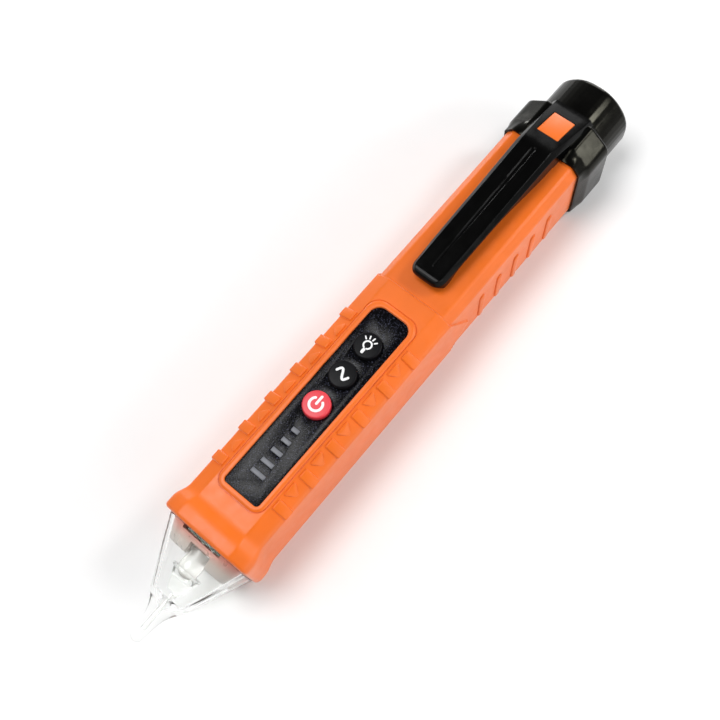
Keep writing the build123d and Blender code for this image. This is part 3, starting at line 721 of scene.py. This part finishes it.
def flank_bars(side):
    """Upright bars with round ends on one flank of the rear body."""
    low, high, half, raise_mm = 3.9, 13.2, 0.9, 0.4
    lean, middle = math.tan(math.radians(3.0)), (low + high) / 2
    corners = [(-half, low), (half, low), (half, high), (-half, high)]
    outline = rounded(corners, [0.85] * 4, 7, [2, 8, 2, 8])
    pieces = []
    for i in range(BAR_COUNT):
        rings = []
        for depth, inset in ((-0.5, 0.0), (0.12, 0.0), (raise_mm * 0.75, 0.12), (raise_mm, 0.34)):
            shrink_x, shrink_z = 1 - inset / half, 1 - inset / (high - middle)
            ring = []
            for x, z in outline:
                z_here = middle + (z - middle) * shrink_z
                s = BAR_FIRST + BAR_PITCH * i + x * shrink_x + (z_here - middle) * lean
                ring.append(at(s, side * (REAR_HALF + depth), z_here))
            rings.append(ring)
        pieces.append(loft(f"bar_{i}", rings))
    return pieces


def panel_edge(outset):
    """Outline of the button panel in (s, y), moved outwards."""
    front_half, rear_half = 4.65, PANEL_REAR_Y
    corners = [
        (PANEL_START - outset, -front_half - outset),
        (PANEL_END + outset, -rear_half - outset),
        (PANEL_END + outset, rear_half + outset),
        (PANEL_START - outset, front_half + outset),
    ]
    front_round, rear_round = 0.9 + outset * 1.3, 2.5 + outset * 0.5
    return rounded(corners, [front_round, rear_round, rear_round, front_round], 8, [1] * 4)


def ring_solid(name, profile):
    """Closed ring round the panel from a closed (outset, z) profile."""
    rings = [[at(s, y, z) for s, y in panel_edge(outset)] for outset, z in profile]
    return loft(name, rings, endless=True)


SIGNALS = [(40.5 + 2.83 * i, 3.54 - 0.435 * i) for i in range(5)]
BUTTONS = {
    name: (sum(corner[0] for corner in span(name + "_button")) / 2, span(name + "_button")[1][2])
    for name in ("power", "sensitivity", "lamp")
}
BUTTON_R = 3.0
SIGNAL_HALF = 0.5


def panel_holes(prefix):
    """Cutters for the buttons and the signal bars."""
    floor_z, top_z, button_gap, bar_gap = 15.0, FACE_Z + 2, 0.1, 0.05
    holes = []
    for name, (s, _) in BUTTONS.items():
        profile = [(floor_z, BUTTON_R + button_gap), (top_z, BUTTON_R + button_gap)]
        holes.append(turned(f"{prefix}_{name}", profile, 48, at(s, 0, 0), "z"))
    for i, (s, length) in enumerate(SIGNALS):
        along, across = SIGNAL_HALF + bar_gap, length / 2 + bar_gap
        holes.append(brick(f"{prefix}_{i}", s - along, s + along, -across, across, floor_z, top_z))
    return holes


def housing():
    """Front case and back cover, parted along the lower edge of the flanks."""
    case = housing_skin()
    add(case, spigot_skin())
    bead = [(0.0, -0.5), (0.0, 0.30), (0.12, 0.44), (0.6, 0.50), (1.0, 0.42), (1.25, 0.18), (1.35, -0.5)]
    add(case, ring_solid("bead", [(outset, FACE_Z + z) for outset, z in bead]))
    for side in (-1, 1):
        add(case, *ribs(side), *wedges(side), *flank_bars(side))
    groove = [(1.3, 0.4), (1.34, -0.14), (1.5, -0.16), (1.62, 0.4)]
    cut(case, ring_solid("groove", [(outset, FACE_Z + z) for outset, z in groove]))
    inner_body, spigot_hole = body_outline(WALL), box_outline(6.85, 6.3, AXIS_Z, 2.0)
    cavities = [
        loft("mouth", [ring_at(s, box_outline(*MOUTH_BACK)) for s in (FLANGE_START - 1, BODY_START + 0.5)]),
        loft("inside_front", [ring_at(BODY_START, inner_body), ring_at(88.0, inner_body)]),
        loft("inside_rear", [ring_at(s, rear_outline(-WALL)) for s in (87.5, BODY_END - WALL)]),
        loft("inside_spigot", [ring_at(s, spigot_hole) for s in (BODY_END - 3, SPIGOT_END + 1)]),
        prism("recess", panel_edge(0.0), FACE_Z - 0.8, FACE_Z + 2),
        brick("latch_slot", 125.7, SPIGOT_END + 1, -3.2, 3.2, 16.2, REAR_TOP + 1),
    ]
    cut(case, *cavities, *panel_holes("hole"))
    cover = copy_of(case, "back_cover")
    parting_gap = 0.03
    cut(case, brick("below", -5, LENGTH, -20, 20, -5, SPLIT_Z + parting_gap))
    cut(cover, brick("above", -5, LENGTH, -20, 20, SPLIT_Z - parting_gap, 30))
    case.name = "front_case"
    settle(case, "housing", "shell_orange", ["front_shell"])
    settle(cover, "housing", "shell_orange", ["back_shell"])


def panel():
    """Black film with its holes, and the light bars that show in five of them."""
    film = prism("panel_film", panel_edge(-0.06), PANEL_FLOOR_Z + 0.05, FACE_Z)
    cut(film, *panel_holes("film_hole"))
    soften(film, 0.06)
    settle(film, "housing", "panel_black", ["panel_overlay"])
    bars = brick("signal_light_bars", SIGNALS[0][0] - 0.6, SIGNALS[-1][0] + 0.6, -0.8, 0.8, 17.6, 18.5)
    for i, (s, length) in enumerate(SIGNALS):
        bar = brick(f"bar_{i}", s - SIGNAL_HALF, s + SIGNAL_HALF, -length / 2, length / 2, 17.7, FACE_Z + 0.02)
        add(bars, soften(bar, 0.1))
    settle(bars, "housing", "signal_grey", ["signal_bars"])


# ---------------------------------------------------------------- buttons

def band(name, path, width, low_z, high_z):
    """Flat strip of even width along an (s, y) path, with square ends."""
    half, last = width / 2, len(path) - 1
    left, right = [], []
    for i, point in enumerate(path):
        along = (Vector(path[min(i + 1, last)]) - Vector(path[max(i - 1, 0)])).normalized()
        normal = Vector((-along.y, along.x)) * half
        left.append(Vector(point) + normal)
        right.append(Vector(point) - normal)
    bm = bmesh.new()
    layers = []
    for z in (low_z, high_z):
        layers.append([[bm.verts.new(at(p.x, p.y, z)) for p in edge] for edge in (left, right)])
    (low_left, low_right), (high_left, high_right) = layers
    for i in range(last):
        j = i + 1
        bm.faces.new((high_left[i], high_left[j], high_right[j], high_right[i]))
        bm.faces.new((low_left[i], low_right[i], low_right[j], low_left[j]))
        bm.faces.new((low_left[i], low_left[j], high_left[j], high_left[i]))
        bm.faces.new((low_right[i], high_right[i], high_right[j], low_right[j]))
    for i in (0, last):
        bm.faces.new((low_left[i], high_left[i], high_right[i], low_right[i]))
    return object_from(name, bm)


def arc(centre_s, radius, start, end):
    """Points of an arc in (s, y), angles in degrees from +s towards +y."""
    steps = 32
    points = []
    for k in range(steps + 1):
        angle = math.radians(start + (end - start) * k / steps)
        points.append((centre_s + radius * math.cos(angle), radius * math.sin(angle)))
    return points


def dot(name, s, y, radius, low_z, high_z):
    return turned(name, [(low_z, radius), (high_z, radius)], 20, at(s, y, 0), "z")


def stroke(name, path, width, low_z, high_z):
    """Strip with round ends."""
    line = band(name, path, width, low_z, high_z)
    end_r = width / 2 - 0.002
    ends = [dot(f"{name}_end", *point, end_r, low_z, high_z) for point in (path[0], path[-1])]
    return add(line, *ends)


def power_icon(s, low, high):
    """Broken ring with a bar through the gap, pointing to the rear of the pen."""
    ring = stroke("power_icon", arc(s - 0.1, 1.42, 42, 318), 0.56, low, high)
    return [ring, stroke("power_icon_bar", [(s + 0.05, 0), (s + 1.85, 0)], 0.56, low, high)]


def wave_icon(s, low, high):
    """One period of a sine wave, for the alternating-current sensitivity."""
    count = 40
    path = []
    for k in range(count + 1):
        t = k / count * 2 - 1
        path.append((s + 0.95 * math.sin(t * math.pi), t * 1.5))
    return [stroke("wave_icon", path, 0.52, low, high)]


def lamp_icon(s, low, high):
    """Small lamp with its cap towards the tip and rays towards the rear."""
    bulb = stroke("lamp_icon", arc(s, 0.88, 200, 520), 0.36, low, high)
    neck = stroke("lamp_icon_neck", [(s - 1.25, 0), (s - 1.85, 0)], 0.66, low, high)
    rays = []
    for i in range(4):
        angle = math.radians(-42 + 31 * i)
        direction = Vector((math.cos(angle), math.sin(angle)))
        start = Vector((s, 0)) + direction * 1.42
        ray = [tuple(start), tuple(start + direction * 0.6)]
        rays.append(stroke(f"lamp_icon_ray_{i}", ray, 0.3, low, high))
    return [bulb, neck, *rays]


ICONS = {"power": power_icon, "sensitivity": wave_icon, "lamp": lamp_icon}


def buttons():
    """Three domed buttons with printed icons."""
    dome, edge, stop_r, stop_thick, sink, raised = 0.10, 0.35, 3.6, 0.6, 0.2, 0.035
    for name, (s, top_z) in BUTTONS.items():
        low = span(name + "_button")[0][2]
        stop_z = low + stop_thick
        profile = [(low, 0.4), (low, stop_r), (stop_z, stop_r), (stop_z, BUTTON_R)]
        for angle in quarter_angles(6):
            height = top_z - dome - edge * (1 - math.sin(angle))
            profile.append((height, BUTTON_R - edge * (1 - math.cos(angle))))
        for k in range(1, 8):
            radius = (BUTTON_R - edge) * (1 - k / 7)
            profile.append((top_z - dome * (radius / (BUTTON_R - edge)) ** 2, max(radius, 0.02)))
        slot = "button_red" if name == "power" else "button_black"
        cap = turned(name + "_cap", profile, 64, at(s, 0, 0), "z")
        settle(cap, name + "_key", slot, [name + "_button"])
        first, *others = ICONS[name](s, top_z - sink, top_z + raised)
        settle(add(first, *others), name + "_key", slot, material="print_white")


# ---------------------------------------------------------------- nose

def lens_ring(s, inset):
    """Lens outline: nearly round at the shoulder, a rounded square at the flange."""
    base_z, base_half_height = (LENS_TOP + LENS_LOW) / 2, (LENS_TOP - LENS_LOW) / 2
    part = (s - SHOULDER_S) / (FLANGE_START - SHOULDER_S)
    base = box_outline(LENS_HALF, base_half_height, base_z, 6.2, 14)
    shoulder = box_outline(SHOULDER_R, SHOULDER_R, AXIS_Z, 3.9, 14)
    middle = AXIS_Z + part * (base_z - AXIS_Z)
    outline = mix(shoulder, base, part)
    if not inset:
        return outline
    shrunk = []
    for y, z in outline:
        reach = math.hypot(y, z - middle)
        shrunk.append((y * (1 - inset / reach), middle + (z - middle) * (1 - inset / reach)))
    return shrunk


def nose_lens():
    """Clear thin-walled lens with its solid tip pin."""
    shoulder = lens_ring(SHOULDER_S, 0.0)

    def round_outline(radius):
        """Circle with its points in the same directions as the shoulder's."""
        points = []
        for y, z in shoulder:
            reach = math.hypot(y, z - AXIS_Z)
            points.append((y / reach * radius, AXIS_Z + (z - AXIS_Z) / reach * radius))
        return points

    tip_r = 1.4
    tip = [(tip_r * (1 - math.cos(angle)), tip_r * math.sin(angle)) for angle in quarter_angles(6, 1)]
    tip += [(2.6, 1.50), (4.2, 1.68), (5.6, 1.92), (6.7, 2.22)]
    tip += [(7.6, 2.62), (8.4, 3.12), (9.1, 3.66), (9.7, 4.12)]
    rings = [ring_at(s, round_outline(radius)) for s, radius in tip]
    rings.append(ring_at(10.15, mix(round_outline(4.36), shoulder, 0.6)))
    for s in stations((SHOULDER_S, FLANGE_START, 1.9)):
        rings.append(ring_at(s, lens_ring(s, 0.0)))
    lens = loft("lens", rings)
    inside = [ring_at(s, round_outline(radius)) for s, radius in ((8.7, 0.7), (9.5, 1.5), (10.2, 2.5))]
    inside += [ring_at(s, lens_ring(s, LENS_WALL)) for s in stations((11.0, FLANGE_START + 0.5, 2.0))]
    bore = turned("bore", [(3.0, 0.45), (9.0, 0.45)], 20, at(0, 0, AXIS_Z))
    cut(lens, loft("lens_inside", inside), bore)
    settle(lens, "housing", "clear_lens", ["nose_lens"], 28)


def lens_base_ring():
    """The lens's thick base, with a notch for the lamp and a slot for the board."""
    fit, end = LENS_WALL + 0.06, FLANGE_START - 0.02
    places = [(NECK_START, 0.5), (NECK_START + 0.12, 0.22), (NECK_START + 0.4, 0.0), (end, 0.0)]
    base = loft("lens_base_ring", [ring_at(s, lens_ring(s, fit + inset)) for s, inset in places])
    neck = [
        ring_at(NECK_START - 0.4, box_outline(*MOUTH_FRONT)),
        ring_at(NECK_START + 0.1, box_outline(*MOUTH_FRONT)),
        ring_at(FLANGE_START + 0.5, box_outline(*MOUTH_BACK)),
    ]
    lamp_notch = brick("lamp_notch", NECK_START - 1, 22.2, -3.5, 1.7, 14.0, 21.0)
    board_slot = brick("board_slot", 23.25, 24.5, -4.9, 4.9, 14.0, 21.0)
    cut(base, loft("neck_inside", neck), lamp_notch, board_slot)
    settle(base, "housing", "clear_lens", ["nose_lens"], 40, "lens_base")


def light_guide():
    """Clear funnel in front of the lamp, with a rim and a pocket for it."""
    (start, _, _), (end, _, _) = span("light_guide")
    front_r, widening, front_z, end_z, count, steps = 1.6, 1.75, 9.7, LAMP_Z - 0.4, 40, 8
    outer = []
    for k in range(steps + 1):
        part = k / steps
        outline = circle(front_r + widening * part, front_z + (end_z - front_z) * part, count)
        outer.append(ring_at(start + (end - start) * part, outline))
    guide = loft("light_funnel", outer)
    rim = [(end - 0.75, 3.2), (end - 0.6, 3.5), (end - 0.1, 3.5), (end, 3.35)]
    add(guide, turned("rim", rim, count, at(0, 0, end_z)))
    pocket = [(LAMP_FRONT - 0.2, 2.6), (end + 0.2, 2.6)]
    cut(guide, turned("pocket", pocket, count, at(0, 0, LAMP_Z)))
    settle(guide, "housing", "clear_guide", ["light_guide"], 28)


def nose_lamp():
    """Round-nosed clear lamp with a rim at its foot."""
    lamp_r = 2.4
    rim_r = lamp_r + 0.35
    profile = []
    for angle in quarter_angles(9, 1):
        profile.append((LAMP_FRONT + lamp_r * (1 - math.cos(angle)), lamp_r * math.sin(angle)))
    profile += [(LAMP_BACK - 0.9, lamp_r), (LAMP_BACK - 0.85, rim_r), (LAMP_BACK, rim_r), (LAMP_BACK, 0.3)]
    lamp = turned("nose_lamp", profile, 48, at(0, 0, LAMP_Z))
    settle(lamp, "housing", "clear_led", ["nose_led"])


# ---------------------------------------------------------------- battery cap and clip

def boss_top(s):
    """Height of the cap's sloped boss."""
    boss_start, boss_end, boss_high, boss_low = 132.0, 146.5, CLIP_HIGH_Z, 21.2
    return boss_high + (s - boss_start) * (boss_low - boss_high) / (boss_end - boss_start)


def cap_skin():
    """Outer form of the cap: lip, sloped band, faceted collar, shoulder and end barrel."""
    middle_z = 10.5
    lip = by_angle(rear_outline(0.55), middle_z, CAP_COUNT)
    corners = [(11.1, 0.0), (11.1, 17.2), (6.05, 21.0)]
    corners += [(-y, z) for y, z in reversed(corners)]
    radii = [4.6, 3.4, 0.3, 0.3, 3.4, 4.6]
    full = by_angle(rounded(corners, radii, 12, [10, 4, 8, 4, 10, 10]), middle_z, CAP_COUNT)
    rings = [ring_at(COLLAR_START, lip), ring_at(COLLAR_START + 0.12, mix(lip, full, 0.06))]
    for s in stations((COLLAR_START + 0.3, 138.6, 0.3)):
        rings.append(ring_at(s, mix(lip, full, soft_line([(COLLAR_START, 0.06), (138.1, 1.0)], s, 0.3))))
    rings.append(ring_at(141.5, full))
    barrel = barrel_ring(0.0)
    for s in stations((144.7, 147.8, 0.25)):
        rings.append(ring_at(s, mix(full, barrel, soft_line([(145.2, 0.0), (147.3, 1.0)], s, 0.3))))
    edge = 1.4
    for angle in quarter_angles(6):
        rings.append(ring_at(LENGTH - edge + edge * math.sin(angle), barrel_ring(edge * (1 - math.cos(angle)))))
    rings.append(ring_at(LENGTH - 0.15, barrel_ring(edge + 0.5)))
    return loft("cap_shell", rings)


def barrel_ring(inset):
    """End barrel outline: an eight-sided round."""
    reach = BARREL_R - inset
    side = 0.57 * reach
    outline = octagon(
        reach, AXIS_Z - reach, AXIS_Z + reach, (side, side), (side, side), 0.86 * reach
    )
    return by_angle(outline, AXIS_Z, CAP_COUNT)


def clip_ring(s, half, flat, low, top):
    """Clip section: flat top, sloped shoulders and upright sides."""
    shoulder = min(1.2, (top - low) * 0.55)
    right = [(half - 0.2, low), (half, low + 0.25), (half, top - shoulder), (flat, top)]
    corners = right + [(-y, z) for y, z in reversed(right)]
    radii = [0.12, 0.12, 0.3, 0.28, 0.28, 0.3, 0.12, 0.12]
    return ring_at(s, rounded(corners, radii, 4, [1, 2, 2, 6, 2, 2, 1, 4]))


def clip_arm():
    """Springy arm, its toe and its sloped root boss in one smooth piece."""
    top_front, root_s, boss_end = 23.5, 132.0, 146.4
    thick, toe_z, front_low_z, deepening_s = 1.9, 20.1, 21.8, 111

    def quarter(t):
        """Height of a quarter circle over its run, from 0 to 1."""
        return math.sqrt(1 - (1 - clamp(t)) ** 2)

    def along(s):
        return clamp((s - CLIP_START) / (root_s - CLIP_START))

    def top_at(s):
        line = [(CLIP_START, top_front), (root_s, CLIP_HIGH_Z), (boss_end, boss_top(boss_end))]
        return soft_line(line, s, 0.8) - 1.0 * (1 - quarter((s - CLIP_START) / 1.3))

    def half_at(s):
        if s < root_s:
            return 4.1 + 0.6 * along(s) - 1.9 * (1 - quarter((s - CLIP_START) / 2.4))
        return 4.7 + 0.6 * (s - root_s) / (boss_end - root_s)

    def flat_at(s):
        if s < root_s:
            return 3.35 + 0.25 * along(s) - 1.75 * (1 - quarter((s - CLIP_START) / 2.4))
        return 3.6 + 0.9 * min(1.0, (s - root_s) / 11)

    def low_at(s):
        arm = top_at(s) - thick
        if s < CLIP_START + 2.5:
            return toe_z + (front_low_z - toe_z) * (1 - ease((s - CLIP_START) / 2.2))
        if s < CLIP_START + 6.5:
            return min(arm, toe_z + (top_front - thick - toe_z) * ease((s - CLIP_START - 3.2) / 3.2))
        return arm - 3.3 * ease((s - deepening_s) / (root_s - deepening_s))

    rings = []
    arm_runs = ((94.0, 96.0, 0.2), (96.0, 99.0, 0.5), (99.0, 130.0, 2.0), (130.0, boss_end, 0.6))
    for s in stations((CLIP_START, 94.0, 0.07), *arm_runs):
        low = low_at(s) if s < root_s + 1 else min(low_at(s), 17.8)
        rings.append(clip_ring(s, half_at(s), flat_at(s), low, top_at(s)))
    arm = loft("clip_arm", rings)
    groove_start, groove_end, depth = 96.4, 131.0, 0.2
    front_half, rear_half = 0.05, 0.36
    rings = []
    for widen, lift in ((0.0, -depth), (0.27, 0.0), (0.34, 0.05), (0.5, 0.5)):
        front, rear = front_half + widen, rear_half + widen
        corners = [
            (groove_start - widen, -front),
            (groove_end + widen, -rear),
            (groove_end + widen, rear),
            (groove_start - widen, front),
        ]
        outline = rounded(corners, [0.9 * front, 0.9 * rear, 0.9 * rear, 0.9 * front], 6, [16, 1, 16, 1])
        rings.append([at(s, y, top_at(s) + lift) for s, y in outline])
    cut(arm, loft("clip_groove", rings))
    return arm


def battery_cap():
    """Cap, and the clip with its boss. The clip bends about the clip joint on the real pen, but here the arm is
    only baked in place and fixed to no body.
    """
    gap, window_gap, skin = 0.15, 0.1, 1.3
    sleeve = box_outline(SPIGOT_HALF + gap, SPIGOT_HALF_HEIGHT + gap, AXIS_Z, 3.1)
    tunnel_start, tunnel_low_z, slope_s, tunnel_end = 126.0, 16.6, 131.0, HEAD_END + 0.6
    tunnel = [
        (tunnel_start, tunnel_low_z),
        (tunnel_end, tunnel_low_z),
        (tunnel_end, boss_top(tunnel_end) - skin),
        (slope_s, boss_top(slope_s) - skin),
        (tunnel_start, boss_top(slope_s) - skin - 0.6),
    ]
    across = HEAD_HALF + window_gap
    shell = cap_skin()
    arm = clip_arm()
    for piece in (shell, arm):
        cut(
            piece,
            loft("mouth", [ring_at(s, rear_outline(gap)) for s in (132.0, BODY_END + 0.3)]),
            loft("sleeve", [ring_at(s, sleeve) for s in (BODY_END, 147.2)]),
            loft("end_space", [ring_at(s, circle(7.0, AXIS_Z, 64)) for s in (146.2, 153.0)]),
            side_prism("tunnel", tunnel, -3.3, 3.3),
            brick("window", HEAD_START - window_gap, HEAD_END + window_gap, -across, across, 18.0, 27.0),
        )
    settle(shell, "battery_cap", "cap_black", ["battery_cap"])
    settle(arm, None, "cap_black", ["pocket_clip"], material="clip_black")
    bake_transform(arm)


def latch():
    """Latch tongue with the sloped head that shows in the boss's window."""
    (arm_start, _, arm_low), _ = span("cap_latch")
    tongue = brick("latch_tab", arm_start, HEAD_END, -3.0, 3.0, arm_low, arm_low + 1.0)
    outline = [
        (HEAD_START, HEAD_LOW_Z),
        (HEAD_END, HEAD_LOW_Z),
        (HEAD_END, boss_top(HEAD_END)),
        (HEAD_START, boss_top(HEAD_START)),
    ]
    head = side_prism("latch_head", outline, -HEAD_HALF, HEAD_HALF)
    add(tongue, soften(head, 0.18, segments=3))
    settle(tongue, "latch", "shell_orange", ["cap_latch"])


def spring():
    """Coil that presses on the rear cell."""
    (start, _, _), (end, _, _) = span("cap_spring")
    wire, turns, steps = 0.35, 3.5, 36
    points = []
    for k in range(int(turns * steps) + 1):
        part = k / (turns * steps)
        angle = 2 * math.pi * turns * part
        radius = 3.6
        points.append(at(
            start + wire + (end - start - 2 * wire) * part,
            radius * math.cos(angle),
            AXIS_Z + radius * math.sin(angle),
        ))
    rings = []
    for i, point in enumerate(points):
        along = (points[min(i + 1, len(points) - 1)] - points[max(i - 1, 0)]).normalized()
        out = (point - at((point.x - TIP_X) / MM, 0, AXIS_Z)).normalized()
        other = along.cross(out)
        rings.append([
            point + (out * math.cos(2 * math.pi * k / 12) + other * math.sin(2 * math.pi * k / 12)) * wire * MM
            for k in range(12)
        ])
    coil = loft("contact_coil", rings)
    settle(coil, "battery_cap", "contact_steel", ["cap_spring"])


def inner_parts():
    """Materials for the CAD nodes that stay as they are."""
    slots = {entry["node"]: entry["material_slot"] for entry in frame["record"]["subparts"]}
    for name, node in frame["nodes"].items():
        if node.hide_render:
            continue
        node.data.materials.clear()
        node.data.materials.append(MATERIALS[slots[name]])
        for polygon in node.data.polygons:
            polygon.use_smooth = True
        node.data.set_sharp_from_angle(angle=math.radians(30))


# ---------------------------------------------------------------- floor, light and camera

def studio():
    """Pale floor, soft lights and the camera."""
    bm = bmesh.new()
    bmesh.ops.create_grid(bm, x_segments=1, y_segments=1, size=1.5)
    floor = object_from("floor", bm, recalculate=False)
    floor.data.materials.append(moulded("floor_paper", (0.93, 0.93, 0.93), 0.7, 2.0, 0.01, 0.005))

    world = bpy.data.worlds.new("studio")
    world.use_nodes = True
    tree = world.node_tree
    place = tree.nodes.new("ShaderNodeTexCoord")
    split = tree.nodes.new("ShaderNodeSeparateXYZ")
    tree.links.new(place.outputs["Generated"], split.inputs["Vector"])
    sky = ramp(tree, split.outputs["Z"], [
        (0.0, (0.60, 0.60, 0.60)),
        (0.35, (0.40, 0.40, 0.40)),
        (0.75, (0.10, 0.10, 0.10)),
        (1.0, (0.04, 0.04, 0.04)),
    ])
    tree.links.new(sky, tree.nodes["Background"].inputs["Color"])
    tree.nodes["Background"].inputs["Strength"].default_value = 1.0
    bpy.context.scene.world = world

    # Name, direction from the pen's middle, width and distance in metres, power in watts
    middle = at(70, 0, 10)
    lights = [
        ("key", (-0.06, 0.30, 0.95), 0.30, 0.60, 1.75),
        ("front_soft", (-0.45, 0.42, 0.80), 0.40, 0.60, 0.9),
        ("rear_soft", (0.93, 0.27, 0.22), 0.26, 0.60, 0.75),
        ("flank_fill", (0.0, -0.94, 0.33), 0.60, 0.70, 1.6),
        ("groove_strip", (0.50, -0.75, 0.43), 0.08, 0.50, 0.20),
        ("collar_strip", (0.595, -0.688, 0.415), 0.08, 0.55, 0.20),
        ("barrel_strip", (0.622, -0.378, 0.686), 0.12, 0.555, 0.75),
        ("far_strip", (0.487, 0.871, 0.067), 0.08, 0.52, 0.30),
    ]
    for name, direction, size, distance, power in lights:
        light = bpy.data.lights.new(name, "AREA")
        light.shape = "DISK"
        light.size = size
        light.energy = power
        lamp = bpy.data.objects.new(name, light)
        bpy.context.scene.collection.objects.link(lamp)
        towards = Vector(direction).normalized()
        lamp.location = middle + towards * distance
        lamp.rotation_mode = "QUATERNION"
        lamp.rotation_quaternion = towards.to_track_quat("Z", "Y")

    camera_data = bpy.data.cameras.new("camera")
    camera_data.sensor_width = 36.0
    camera_data.lens = 47.3
    camera_data.clip_start = 0.01
    camera_data.clip_end = 10.0
    camera = bpy.data.objects.new("camera", camera_data)
    bpy.context.scene.collection.objects.link(camera)
    right = Vector((0.6413, -0.7635, -0.0759))
    up = Vector((0.7346, 0.5824, 0.3483))
    back = right.cross(up).normalized()
    turn = Matrix((right, up, back)).transposed().to_4x4()
    camera.matrix_world = Matrix.Translation(at(28.38, -54.81, 202.1)) @ turn
    bpy.context.scene.camera = camera
    bpy.context.scene.view_settings.view_transform = "Standard"


housing()
panel()
buttons()
nose_lens()
lens_base_ring()
light_guide()
nose_lamp()
battery_cap()
latch()
spring()
inner_parts()
studio()
